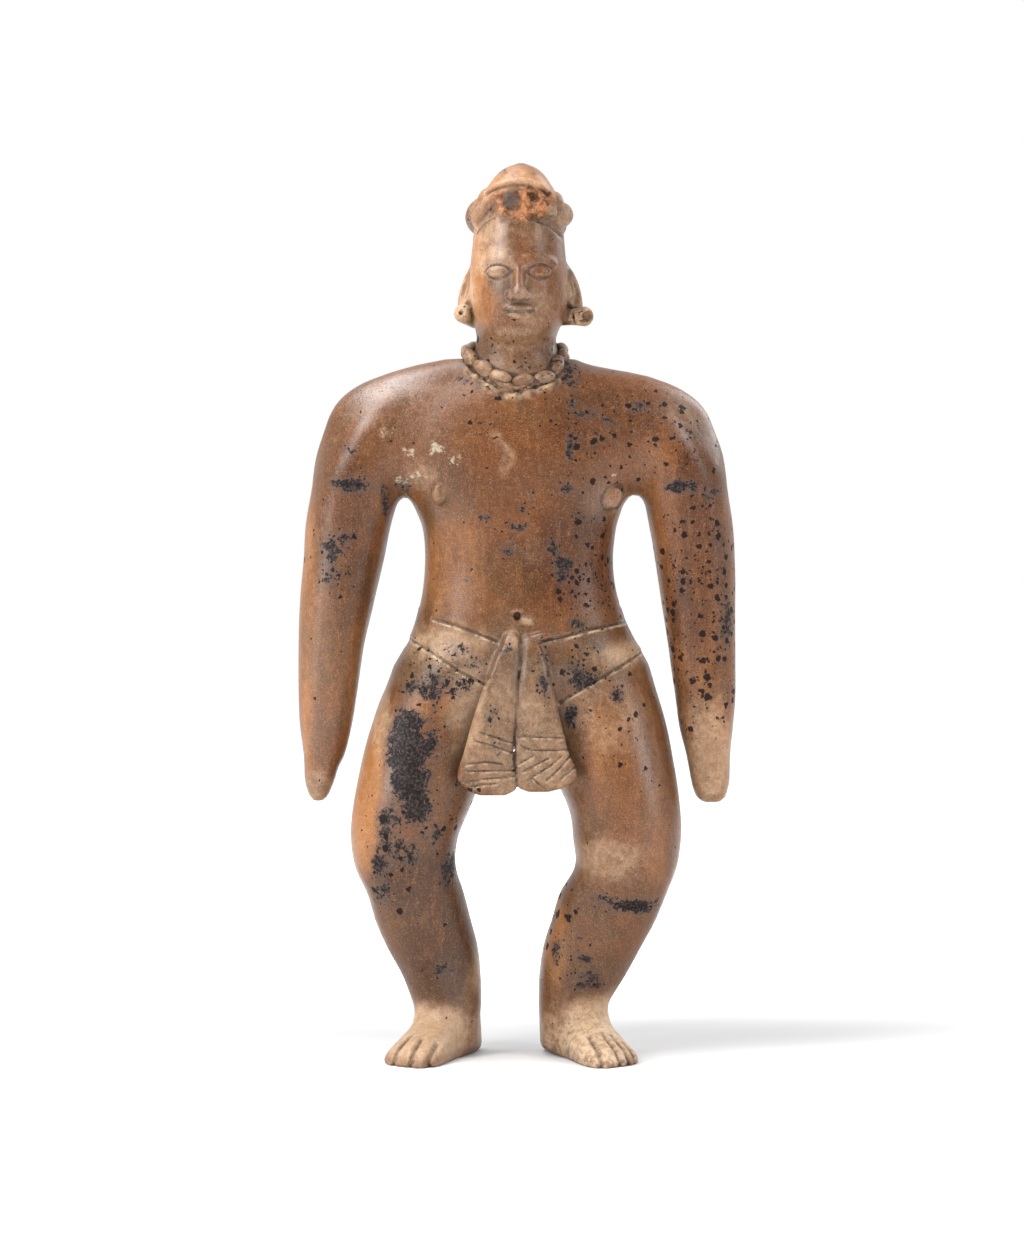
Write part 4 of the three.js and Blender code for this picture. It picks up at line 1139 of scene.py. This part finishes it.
class Nodes:
    """Short ways to add and link the nodes of one tree."""

    def __init__(self, tree):
        self.tree = tree
        self.tree.nodes.clear()

    def add(self, kind, inputs=None, **settings):
        """A new node of a kind, with its settings, and its inputs linked or set."""
        node = self.tree.nodes.new(kind)
        node.location = (180 * (len(self.tree.nodes) % 12), -200 * (len(self.tree.nodes) // 12))
        for name, value in settings.items():
            setattr(node, name, value)
        for name, source in (inputs or {}).items():
            self.link(source, node.inputs[name])
        return node

    def link(self, source, target):
        """Links a socket to another, or sets a plain value on it."""
        if isinstance(source, bpy.types.NodeSocket):
            self.tree.links.new(source, target)
        else:
            target.default_value = source

    def math(self, operation, a, b=0.0, clamp=False):
        """One sum on two sockets or numbers."""
        return self.add("ShaderNodeMath", {0: a, 1: b}, operation=operation, use_clamp=clamp).outputs[0]

    def plus(self, value, extra, weight):
        """A value with a share of another added."""
        return self.math("ADD", value, self.math("MULTIPLY", extra, weight))

    def stirred(self, value, noise, weight):
        """A value made uneven by a noise that runs round a half."""
        return self.plus(value, self.math("SUBTRACT", noise, 0.5), weight)

    def remap(self, value, low, high, out_low=0.0, out_high=1.0):
        """A soft step between two values, from one result to another."""
        inputs = {"Value": value, "From Min": low, "From Max": high, "To Min": out_low, "To Max": out_high}
        return self.add("ShaderNodeMapRange", inputs, interpolation_type="SMOOTHSTEP").outputs["Result"]

    def mix(self, factor, a, b, blend="MIX"):
        """A mix of two colours."""
        inputs = {"Factor": factor, 6: a, 7: b}
        return self.add("ShaderNodeMix", inputs, data_type="RGBA", blend_type=blend).outputs[2]

    def attribute(self, name):
        """One of the values kept on the mesh's points."""
        return self.add("ShaderNodeAttribute", attribute_name=name).outputs["Fac"]

    def place(self, scale=(1, 1, 1)):
        """The place on the object, squeezed by a scale."""
        coords = self.add("ShaderNodeTexCoord").outputs["Object"]
        return self.add("ShaderNodeMapping", {"Vector": coords, "Scale": scale}).outputs["Vector"]

    def noise(self, place, scale, detail=3.0, rough=0.55, warp=0.0):
        """Clouds, with their scale in waves to the metre."""
        inputs = {"Vector": place, "Scale": scale, "Detail": detail, "Roughness": rough, "Distortion": warp}
        return self.add("ShaderNodeTexNoise", inputs).outputs["Fac"]


def clay_material(colours):
    """Burnished red-brown clay with its pale, dull and stained places, and with painted highlights and painted
    shade.
    """
    material = bpy.data.materials.new("burnished_clay")
    material.use_nodes = True
    n = Nodes(material.node_tree)
    place = n.place()
    tall = n.place((1, 1, 0.2))
    cloud = n.noise(place, 30, 4, 0.6, 0.3)
    patch = n.noise(place, 85, 4, 0.64, 0.5)
    mottle = n.noise(place, 300, 4, 0.66, 0.2)
    grain = n.noise(place, 850, 3, 0.62)
    streak = n.noise(tall, 330, 4, 0.62)
    wide_streak = n.noise(tall, 95, 4, 0.6)

    # The slip, from red to brown, thin and orange in places, worn down to the pale body in others. The orange
    # and pale places also hold painted highlights along lit edges and on the shoulders, forehead and thighs
    base = n.mix(n.remap(cloud, 0.34, 0.66), colours.red_clay[:], colours.brown_clay[:])
    warm_and_edge_highlight = n.stirred(n.attribute("warm_and_edge_highlight"), wide_streak, 1.1)
    base = n.mix(n.remap(warm_and_edge_highlight, 0.1, 0.95), base, colours.orange_clay[:])
    dull = n.stirred(n.attribute("dull"), patch, 1.2)
    base = n.mix(n.remap(dull, 0.15, 1.0, 0.0, 0.9), base, colours.dull_clay[:])
    pale_and_highlight_cover = n.stirred(n.stirred(n.attribute("pale"), patch, 0.6), mottle, 0.3)
    pale_and_highlight_cover = n.remap(pale_and_highlight_cover, 0.08, 0.98)
    base = n.mix(pale_and_highlight_cover, base, colours.pale_clay[:])
    worn = n.math("MULTIPLY", n.attribute("ridge"), n.remap(mottle, 0.4, 0.62, 0.0, 0.38))
    base = n.mix(worn, base, colours.pale_clay[:])
    # Darker places, partly painted shade
    deep = n.stirred(n.attribute("deep"), cloud, 0.9)
    base = n.mix(n.remap(deep, 0.05, 0.95), base, n.mix(1.0, base, colours.dark_and_shade_tint[:], "MULTIPLY"))

    # Fine mottling: darker and lighter grains, and the traces of the burnishing stone
    darker = n.mix(1.0, base, colours.grain_shade[:], "MULTIPLY")
    base = n.mix(n.remap(n.plus(mottle, grain, 0.5), 0.62, 0.86, 0.6, 0.0), base, darker)
    base = n.mix(n.remap(streak, 0.5, 0.7, 0.0, 0.2), base, colours.orange_clay[:])
    base = n.mix(n.remap(grain, 0.56, 0.76, 0.0, 0.1), base, colours.cream[:])
    fine = n.noise(place, 1800, 2, 0.6)
    base = n.mix(n.remap(fine, 0.42, 0.6, 0.5, 0.0), base, darker)
    base = n.mix(n.remap(fine, 0.52, 0.7, 0.0, 0.17), base, colours.pale_clay[:])
    pits = n.remap(n.noise(place, 640, 2, 0.5, 0.2), 0.66, 0.72, 0.0, 0.6)
    base = n.mix(pits, base, colours.shade[:])

    # Dirt with painted shade in hollows, painted shade in creases, dirt in the drawn lines, and the pale lips of
    # the drawn lines
    dirt = n.math("MULTIPLY", n.attribute("hollow_dirt_and_shade"), n.remap(mottle, 0.36, 0.6, 0.25, 1.0))
    base = n.mix(n.remap(dirt, 0.25, 1.0, 0.0, 0.62), base, colours.dirt[:])
    crease_shade = n.attribute("crease_shade")
    base = n.mix(n.remap(crease_shade, 0.25, 0.95, 0.0, 0.85), base, colours.shade[:])
    lip = n.math("MULTIPLY", n.attribute("cream"), n.remap(mottle, 0.4, 0.6, 0.1, 0.7))
    base = n.mix(lip, base, colours.cream[:])
    line = n.math("MULTIPLY", n.attribute("line"), n.remap(mottle, 0.35, 0.6, 0.95, 0.6))
    base = n.mix(line, base, colours.shade[:])

    # Broken clay of the headband's front, with painted shade in its hollows and creases, and the dark core that
    # shows in it
    rubble = n.noise(place, 330, 6, 0.7, 0.2)
    raw_light = n.math("SUBTRACT", rubble, n.math("MULTIPLY", n.attribute("hollow_dirt_and_shade"), 0.3))
    raw_colour = n.mix(n.remap(raw_light, 0.3, 0.66), colours.raw_shade[:], colours.raw_clay[:])
    raw_colour = n.mix(n.remap(grain, 0.54, 0.72, 0.0, 0.28), raw_colour, colours.cream[:])
    base = n.mix(n.attribute("raw"), base, n.mix(n.math("MULTIPLY", crease_shade, 0.8), raw_colour, colours.shade[:]))
    core = n.stirred(n.attribute("core"), rubble, 2.6)
    core_colour = n.mix(n.remap(grain, 0.4, 0.6), colours.core[:], colours.mineral_haze[:])
    base = n.mix(n.remap(core, 0.3, 1.1, 0.0, 0.92), base, core_colour)

    # Mineral growth: lacy dark crusts, and spots in two sizes
    lace = n.noise(place, 430, 7, 0.7, 0.5)
    broad = n.noise(place, 150, 4, 0.66, 0.5)
    spread = n.math("SUBTRACT", n.plus(n.math("MULTIPLY", lace, 1.15), broad, 1.25), 1.2)
    stain = n.attribute("stain")
    growth = n.stirred(n.plus(spread, stain, 0.78), fine, 0.5)
    crust = n.math("MULTIPLY", n.remap(growth, 0.4, 0.48), n.remap(stain, 0.02, 0.1))
    crust = n.math("MULTIPLY", crust, n.remap(grain, 0.5, 0.64, 1.0, 0.7))
    haze = n.math("MULTIPLY", n.remap(growth, 0.0, 0.62, 0.0, 0.66), n.remap(stain, 0.03, 0.45))
    wobble = n.add("ShaderNodeTexNoise", {"Vector": place, "Scale": 480}).outputs["Color"]
    shifted = n.add("ShaderNodeVectorMath", {0: wobble, 1: (WOBBLE,) * 3, 2: place}, operation="MULTIPLY_ADD")

    def dots(per_metre, share, small, large):
        """Round spots of mixed sizes: how close their cells are, the share that is filled, and two radii."""
        cells = n.add("ShaderNodeTexVoronoi", {"Vector": shifted.outputs[0], "Scale": per_metre}, feature="F1")
        lot = n.add("ShaderNodeSeparateColor", {0: cells.outputs["Color"]}).outputs
        chance = n.math("LESS_THAN", lot[0], share)
        radius = n.math("ADD", n.math("MULTIPLY", lot[1], large - small), small)
        inside = n.remap(n.math("SUBTRACT", radius, cells.outputs["Distance"]), -0.04, 0.06)
        return n.math("MULTIPLY", inside, chance)

    spots = n.attribute("spots")
    spot = dots(245, n.math("MULTIPLY", spots, 0.8), 0.12, 0.5)
    fine_share = n.plus(n.math("MULTIPLY", spots, 0.36), stain, 0.5)
    spot = n.math("MAXIMUM", spot, dots(560, n.math("ADD", fine_share, 0.012), 0.18, 0.42))
    lighter = n.remap(n.plus(grain, broad, 0.6), 0.66, 0.96)
    mineral = n.mix(lighter, colours.mineral[:], colours.mineral_light[:])
    base = n.mix(haze, base, colours.mineral_haze[:])
    base = n.mix(crust, base, mineral)
    base = n.mix(n.math("MULTIPLY", spot, 0.94), base, colours.mineral[:])

    # Whitish scuffs
    scuff = n.attribute("scuff")
    scuffed = n.remap(n.plus(n.noise(place, 420, 5, 0.7), scuff, 0.3), 0.66, 0.8)
    scuffed = n.math("MULTIPLY", scuffed, n.remap(scuff, 0.05, 0.5, 0.0, 0.62))
    base = n.mix(scuffed, base, colours.scuff[:])

    # Polish, dulled by crusts, worn places and broken clay, and the finest relief
    shader = n.add("ShaderNodeBsdfPrincipled")
    n.link(base, shader.inputs["Base Color"])
    rough = n.remap(mottle, 0.32, 0.68, 0.3, 0.42)
    growths = n.math("MAXIMUM", crust, spot)
    raw = n.attribute("raw")
    rough = n.plus(n.plus(rough, growths, 0.2), pale_and_highlight_cover, 0.1)
    rough = n.math("ADD", rough, n.math("MULTIPLY", n.math("ADD", raw, crease_shade), 0.35), clamp=True)
    n.link(rough, shader.inputs["Roughness"])
    matt = n.math("SUBTRACT", 1.0, n.math("ADD", growths, raw, clamp=True))
    gloss = n.remap(n.attribute("shine"), 0.0, 1.0, 0.28, 0.62)
    n.link(n.math("MULTIPLY", gloss, n.remap(matt, 0.0, 1.0, 0.25, 1.0)), shader.inputs["Specular IOR Level"])
    height = n.math("MULTIPLY", grain, 0.4)
    for part, weight in ((streak, 0.6), (mottle, 0.5), (crust, 0.4), (spot, 0.5), (pits, -0.9),
                         (n.math("MULTIPLY", raw, rubble), 2.4)):
        height = n.plus(height, part, weight)
    bump = n.add("ShaderNodeBump", {"Strength": 0.55, "Distance": BUMP_HEIGHT, "Height": height})
    n.link(bump.outputs["Normal"], shader.inputs["Normal"])
    n.add("ShaderNodeOutputMaterial", {"Surface": shader.outputs["BSDF"]})
    return material


def floor_material(near, far):
    """Plain paper with a painted shadow: grey round the feet and lighter away from the figure, so that it runs
    into the white surround.
    """
    material = bpy.data.materials.new("floor_paper")
    material.use_nodes = True
    n = Nodes(material.node_tree)
    away = n.add("ShaderNodeVectorMath", {0: n.place(), 1: (0.5, 1.9, 0), 2: (-0.01, -0.17, 0)},
                 operation="MULTIPLY_ADD")
    spot = n.add("ShaderNodeVectorMath", {0: away.outputs["Vector"]}, operation="LENGTH")
    # The painted shadow, in an oval round the feet, fades from the near grey to the far white
    colour = n.mix(n.remap(spot.outputs["Value"], 0.02, 0.42), near[:], far[:])
    shader = n.add("ShaderNodeBsdfPrincipled", {"Base Color": colour, "Roughness": 0.9})
    n.add("ShaderNodeOutputMaterial", {"Surface": shader.outputs["BSDF"]})
    return material


def surround(front, back):
    """White all round for the camera, and a soft light on the object that is weaker from the front."""
    world = bpy.data.worlds.new("surround")
    world.use_nodes = True
    n = Nodes(world.node_tree)
    toward = n.add("ShaderNodeTexCoord").outputs["Generated"]
    across = n.add("ShaderNodeSeparateXYZ", {0: toward}).outputs["Y"]
    light = n.add("ShaderNodeMapRange", {"Value": across, "From Min": -1.0, "To Min": front, "To Max": back})
    seen = n.add("ShaderNodeLightPath").outputs["Is Camera Ray"]
    strength = n.add("ShaderNodeMix", {"Factor": seen, "A": light.outputs["Result"], "B": 1.0})
    inputs = {"Color": (1, 1, 1, 1), "Strength": strength.outputs["Result"]}
    background = n.add("ShaderNodeBackground", inputs)
    n.add("ShaderNodeOutputWorld", {"Surface": background.outputs[0]})
    return world


# ---- Settings


def colour_setting(name, description, value):
    """A colour that a user may change."""
    return bpy.props.FloatVectorProperty(
        name=name, description=description, subtype="COLOR", size=4, min=0, max=1, default=(*value, 1))


def length_setting(name, description, value, least, most, digits=4):
    """A length in metres that a user may change."""
    return bpy.props.FloatProperty(
        name=name, description=description, subtype="DISTANCE", unit="LENGTH", default=value, min=least,
        max=most, precision=digits)


def power_setting(name, description, value):
    """A light's power that a user may change."""
    return bpy.props.FloatProperty(
        name=name, description=description, subtype="POWER", unit="POWER", default=value, min=0)


class ClayFigureSizes(bpy.types.PropertyGroup):
    """Sizes of the clay figure's finer modelling."""

    cell: length_setting("Net cell", "Width of the net's cells on plain skin", 0.0024, 0.0015, 0.004)
    unevenness: length_setting("Unevenness", "How far the hand-smoothed skin strays", 0.00035, 0, 0.001, 5)
    line_depth: length_setting("Line depth", "Depth of the belt's drawn lines", BELT_DEPTH * MM, 0, 0.002, 5)
    beads: bpy.props.IntProperty(
        name="Beads", description="How many beads are on the necklace", default=14, min=8, max=24)
    bead_length: length_setting("Bead length", "Length of one bead", 0.0126, 0.006, 0.016)
    bead_width: length_setting("Bead width", "Width of one bead", 0.0066, 0.004, 0.01)


class ClayFigureColours(bpy.types.PropertyGroup):
    """Colours of the clay and of what has grown or worn on it."""

    red_clay: colour_setting("Red clay", "Burnished slip where it is reddest", (0.145, 0.0505, 0.0155))
    brown_clay: colour_setting("Brown clay", "Burnished slip where it is browner", (0.104, 0.0435, 0.0155))
    # The orange clay also paints highlights along lit edges
    orange_clay: colour_setting("Orange clay", "Thin bright slip", (0.32, 0.135, 0.044))
    dull_clay: colour_setting("Dull clay", "Greyish brown places", (0.105, 0.061, 0.033))
    # The pale clay also paints the highlights of the pale places
    pale_clay: colour_setting("Pale clay", "Where the slip has worn to the buff body", (0.48, 0.32, 0.2))
    cream: colour_setting("Cream", "Fresh edges and specks of the buff body", (0.66, 0.5, 0.34))
    grain_shade: colour_setting("Grain shade", "How much darker the dark grains are", (0.6, 0.55, 0.5))
    # The shade colour also paints the shade in creases
    shade: colour_setting("Shade", "Dirt in lines and pits", (0.04, 0.023, 0.015))
    # The dirt colour also paints the shade in hollows, along with real dirt
    dirt: colour_setting("Dirt", "Thin dirt in hollows", (0.07, 0.044, 0.028))
    raw_clay: colour_setting("Raw clay", "Broken clay", (0.37, 0.155, 0.068))
    raw_shade: colour_setting("Raw clay shade", "Darker broken clay", (0.085, 0.034, 0.016))
    core: colour_setting("Core", "Grey unburnt core in the break", (0.1, 0.088, 0.08))
    mineral: colour_setting("Mineral", "Nearly black crusts and spots", (0.0095, 0.0066, 0.0064))
    mineral_light: colour_setting("Mineral light", "Lighter grains in the crusts", (0.031, 0.0255, 0.0255))
    mineral_haze: colour_setting("Mineral haze", "Thin grey growth round the crusts", (0.078, 0.054, 0.044))
    # Darkens the darker places, partly painted shade
    dark_and_shade_tint: colour_setting("Deep tint", "How much darker the deepest places are", (0.58, 0.48, 0.4))
    scuff: colour_setting("Scuff", "Whitish green scuffs", (0.42, 0.37, 0.27))


class ClayFigureStage(bpy.types.PropertyGroup):
    """The floor, the lights and the camera."""

    # Grey of the shadow painted on the floor round the feet
    painted_floor_shadow: colour_setting("Floor by the figure", "Colour of the floor by the feet", (0.4, 0.4, 0.405))
    floor_far: colour_setting("Floor far away", "Colour of the floor towards the horizon", (1, 1, 1))
    key_power: power_setting("Key light", "Power of the tall soft light on the left", 28)
    fill_power: power_setting("Fill light", "Power of the tall soft light on the right", 15)
    overhead_power: power_setting("Overhead light", "Power of the soft light over the left shoulder", 16)
    rim_power: power_setting("Rim light", "Power of the light behind the right shoulder", 7)
    top_strength: bpy.props.FloatProperty(
        name="Top light", description="Strength of the even light from above and behind", default=1.5, min=0)
    front_surround: bpy.props.FloatProperty(
        name="Surround in front", description="Light of the surround from the front", default=0.2, min=0)
    back_surround: bpy.props.FloatProperty(
        name="Surround behind", description="Light of the surround from behind", default=0.95, min=0)
    lens: bpy.props.FloatProperty(
        name="Lens", description="Focal length of the camera in millimetres", default=138.3, min=50, max=300)
    distance: bpy.props.FloatProperty(
        name="Distance", description="From the camera to the figure", subtype="DISTANCE", unit="LENGTH",
        default=2.25, min=1)


# ---- Operators


def finished(name, mesh, material):
    """A new object at the origin with one material and smooth faces."""
    mesh.materials.clear()
    mesh.materials.append(material)
    mesh.polygons.foreach_set("use_smooth", [True] * len(mesh.polygons))
    piece = bpy.data.objects.new(name, mesh)
    bpy.context.scene.collection.objects.link(piece)
    return piece


def shared_clay(context):
    """The clay that every piece is made of."""
    material = bpy.data.materials.get("burnished_clay")
    return material or clay_material(context.scene.clay_figure_colours)


def attach(piece):
    """Puts a piece on the figure's one body, in the place of its solid."""
    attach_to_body(piece, "root")
    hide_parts("standing_figure")


class CLAYFIGURE_OT_figure(bpy.types.Operator):
    """Model the figure's skin from its slices, with its face, headband, loincloth and toes"""

    bl_idname = "clay_figure.figure"
    bl_label = "Figure"

    def execute(self, context):
        sizes = context.scene.clay_figure_sizes
        field = ClayField(sizes)
        cell = sizes.cell / MM
        points, faces = net_over(field, NET_FROM, NET_TO, cell)
        if len(points) < FEWEST_KNOTS:
            raise RuntimeError("the figure's net is too coarse")
        net = refine(points, faces, cell, field)
        mesh = bpy.data.meshes.new("clay_figure")
        net.to_mesh(mesh)
        net.free()
        p = read_points(mesh, "co")
        mark_clay(mesh, p, field)
        mesh.vertices.foreach_set("co", ((p + TO_ORIGIN) * MM).ravel())
        mesh.update()
        attach(finished("clay_figure", mesh, shared_clay(context)))
        return {"FINISHED"}


def bead_tree(material):
    """Geometry nodes that string uneven beads along a ring."""
    tree = bpy.data.node_groups.new("bead_string", "GeometryNodeTree")
    face = tree.interface
    face.new_socket("Ring", in_out="INPUT", socket_type="NodeSocketGeometry")
    for name, kind in (("Count", "Int"), ("Length", "Float"), ("Width", "Float"), ("Seed", "Int")):
        face.new_socket(name, in_out="INPUT", socket_type="NodeSocket" + kind)
    face.new_socket("Beads", in_out="OUTPUT", socket_type="NodeSocketGeometry")
    n = Nodes(tree)
    given = n.add("NodeGroupInput").outputs

    def lot(low, high):
        """A different vector for each bead, between two."""
        inputs = {0: low, 1: high, "Seed": given["Seed"]}
        return n.add("FunctionNodeRandomValue", inputs, data_type="FLOAT_VECTOR").outputs[0]

    # One ball, drawn out to a bead, set at even steps along the ring and turned and sized a little by lot
    curve = n.add("GeometryNodeMeshToCurve", {"Mesh": given["Ring"]})
    inputs = {"Curve": curve.outputs["Curve"], "Count": given["Count"]}
    spaced = n.add("GeometryNodeCurveToPoints", inputs, mode="COUNT").outputs
    ball = n.add("GeometryNodeMeshUVSphere", {"Segments": 20, "Rings": 14, "Radius": 0.5})
    halves = n.add("ShaderNodeCombineXYZ", {"X": given["Width"], "Y": given["Width"], "Z": given["Length"]})
    inputs = {"Geometry": ball.outputs["Mesh"], "Scale": halves.outputs["Vector"]}
    sized = n.add("GeometryNodeTransform", inputs)
    inputs = {"Rotation": spaced["Rotation"], "Rotate By": lot((-0.16, -0.16, -3.14), (0.16, 0.16, 3.14))}
    tilted = n.add("FunctionNodeRotateRotation", inputs, rotation_space="LOCAL")
    strung = n.add("GeometryNodeInstanceOnPoints", {
        "Points": spaced["Points"], "Instance": sized.outputs["Geometry"], "Rotation": tilted.outputs[0],
        "Scale": lot((0.88, 0.88, 0.86), (1.1, 1.1, 1.12))})
    real = n.add("GeometryNodeRealizeInstances", {"Geometry": strung.outputs["Instances"]})

    # Each bead is pushed in and out a little, as by fingers
    lumps = n.add("ShaderNodeTexNoise", {"Scale": 170, "Detail": 1.0}).outputs["Fac"]
    push = n.math("MULTIPLY", n.math("SUBTRACT", lumps, 0.5), BEAD_LUMPS)
    normal = n.add("GeometryNodeInputNormal").outputs[0]
    offset = n.add("ShaderNodeVectorMath", {0: normal, "Scale": push}, operation="SCALE").outputs[0]
    shaped = n.add("GeometryNodeSetPosition", {"Geometry": real.outputs["Geometry"], "Offset": offset})
    inputs = {"Geometry": shaped.outputs["Geometry"], "Material": material}
    dressed = n.add("GeometryNodeSetMaterial", inputs)
    n.add("NodeGroupOutput", {"Beads": dressed.outputs["Geometry"]})
    return tree


class CLAYFIGURE_OT_necklace(bpy.types.Operator):
    """String the clay beads round the neck"""

    bl_idname = "clay_figure.necklace"
    bl_label = "Necklace"

    def execute(self, context):
        sizes = context.scene.clay_figure_sizes
        ring = (curve_points(NECKLACE, 88, closed=True) + TO_ORIGIN) * MM
        path = bpy.data.meshes.new("necklace_ring")
        path.from_pydata([tuple(p) for p in ring], [(n, (n + 1) % len(ring)) for n in range(len(ring))], [])
        holder = bpy.data.objects.new("necklace_ring", path)
        context.scene.collection.objects.link(holder)
        tree = bead_tree(shared_clay(context))
        modifier = holder.modifiers.new("beads", "NODES")
        modifier.node_group = tree
        values = {"Count": sizes.beads, "Length": sizes.bead_length, "Width": sizes.bead_width, "Seed": 5}
        for item in tree.interface.items_tree:
            if item.in_out == "INPUT" and item.name in values:
                modifier[item.identifier] = values[item.name]
        context.view_layer.update()
        evaluated = holder.evaluated_get(context.evaluated_depsgraph_get())
        mesh = bpy.data.meshes.new_from_object(evaluated)
        if not mesh.polygons:
            raise RuntimeError("the necklace has no beads")
        holder.modifiers.remove(modifier)
        bpy.data.objects.remove(holder)
        p = read_points(mesh, "co") / MM - TO_ORIGIN
        # Painted shade where the beads lie close to the body
        crease_shade = np.clip(1 - ClayField(sizes)(p + 1.5 * read_points(mesh, "normal")) / 1.5, 0, 1)
        write_values(mesh, {
            "crease_shade": 0.8 * crease_shade,
            "hollow_dirt_and_shade": crease_shade,
            "pale": 0.36 + 0.2 * value_noise(p, 9, 6),
            "dull": 0.6 + 0.3 * value_noise(p, 12, 7),
            "stain": 0.2 + 0.16 * np.clip((p[:, 0] - 4) / 12, -1, 1),
        })
        attach(finished("bead_necklace", mesh, shared_clay(context)))
        return {"FINISHED"}


class CLAYFIGURE_OT_stage(bpy.types.Operator):
    """Set up the floor, the soft lights and the camera"""

    bl_idname = "clay_figure.stage"
    bl_label = "Stage"

    def execute(self, context):
        stage = context.scene.clay_figure_stage
        scene = context.scene
        mesh = bpy.data.meshes.new("floor")
        corners = [(x * FLOOR_REACH, y * FLOOR_REACH, 0) for x, y in ((-1, -1), (1, -1), (1, 1), (-1, 1))]
        mesh.from_pydata(corners, [], [(0, 1, 2, 3)])
        floor = finished("floor", mesh, floor_material(stage.painted_floor_shadow, stage.floor_far))

        def softbox(name, place, aim, size, power):
            light = bpy.data.lights.new(name, "AREA")
            light.shape = "RECTANGLE"
            light.size, light.size_y = size
            light.energy = power
            hang(light, place, aim)

        def hang(light, place, aim):
            holder = bpy.data.objects.new(light.name, light)
            holder.location = place
            holder.rotation_euler = (Vector(aim) - Vector(place)).to_track_quat("-Z", "Y").to_euler()
            scene.collection.objects.link(holder)

        softbox("key_light", (-1.15, -0.95, 0.95), (0, 0, 0.22), (0.5, 1.3), stage.key_power)
        softbox("fill_light", (1.3, -0.75, 0.9), (0, 0, 0.22), (0.4, 1.3), stage.fill_power)
        softbox("overhead_light", (-0.5, -0.12, 1.35), (0, 0, 0.3), (0.8, 0.6), stage.overhead_power)
        softbox("rim_light", (0.85, 0.75, 0.95), (0, 0, 0.25), (0.6, 0.9), stage.rim_power)
        top = bpy.data.lights.new("top_light", "SUN")
        top.energy = stage.top_strength
        top.angle = math.radians(45)
        hang(top, (-0.3, 0.45, 1.5), (0, 0, 0))

        scene.view_settings.view_transform = "Standard"
        scene.world = surround(stage.front_surround, stage.back_surround)

        camera = bpy.data.cameras.new("camera")
        camera.lens = stage.lens
        camera.shift_x = CAMERA_SHIFT
        holder = bpy.data.objects.new("camera", camera)
        holder.location = (TO_ORIGIN[0] * MM, -stage.distance + TO_ORIGIN[1] * MM, CAMERA_HEIGHT)
        holder.rotation_euler = (math.radians(90 - CAMERA_DIP), 0, 0)
        scene.collection.objects.link(holder)
        scene.camera = holder
        return {"FINISHED"}


class CLAYFIGURE_PT_panel(bpy.types.Panel):
    """Lists the settings and the steps"""

    bl_label = "Clay figure"
    bl_idname = "CLAYFIGURE_PT_panel"
    bl_space_type = "VIEW_3D"
    bl_region_type = "UI"
    bl_category = "Clay figure"

    def draw(self, context):
        scene = context.scene
        for group in (scene.clay_figure_sizes, scene.clay_figure_colours, scene.clay_figure_stage):
            box = self.layout.box()
            for name in group.bl_rna.properties.keys():
                if name not in ("rna_type", "name"):
                    box.prop(group, name)
        for operator in OPERATORS:
            self.layout.operator(operator.bl_idname)


OPERATORS = (CLAYFIGURE_OT_figure, CLAYFIGURE_OT_necklace, CLAYFIGURE_OT_stage)
CLASSES = (ClayFigureSizes, ClayFigureColours, ClayFigureStage, *OPERATORS, CLAYFIGURE_PT_panel)


def register():
    for item in CLASSES:
        bpy.utils.register_class(item)
    bpy.types.Scene.clay_figure_sizes = bpy.props.PointerProperty(type=ClayFigureSizes)
    bpy.types.Scene.clay_figure_colours = bpy.props.PointerProperty(type=ClayFigureColours)
    bpy.types.Scene.clay_figure_stage = bpy.props.PointerProperty(type=ClayFigureStage)


def unregister():
    del bpy.types.Scene.clay_figure_stage
    del bpy.types.Scene.clay_figure_colours
    del bpy.types.Scene.clay_figure_sizes
    for item in reversed(CLASSES):
        bpy.utils.unregister_class(item)


def main():
    register()
    bpy.ops.clay_figure.figure()
    bpy.ops.clay_figure.necklace()
    bpy.ops.clay_figure.stage()


if __name__ == "__main__":
    main()
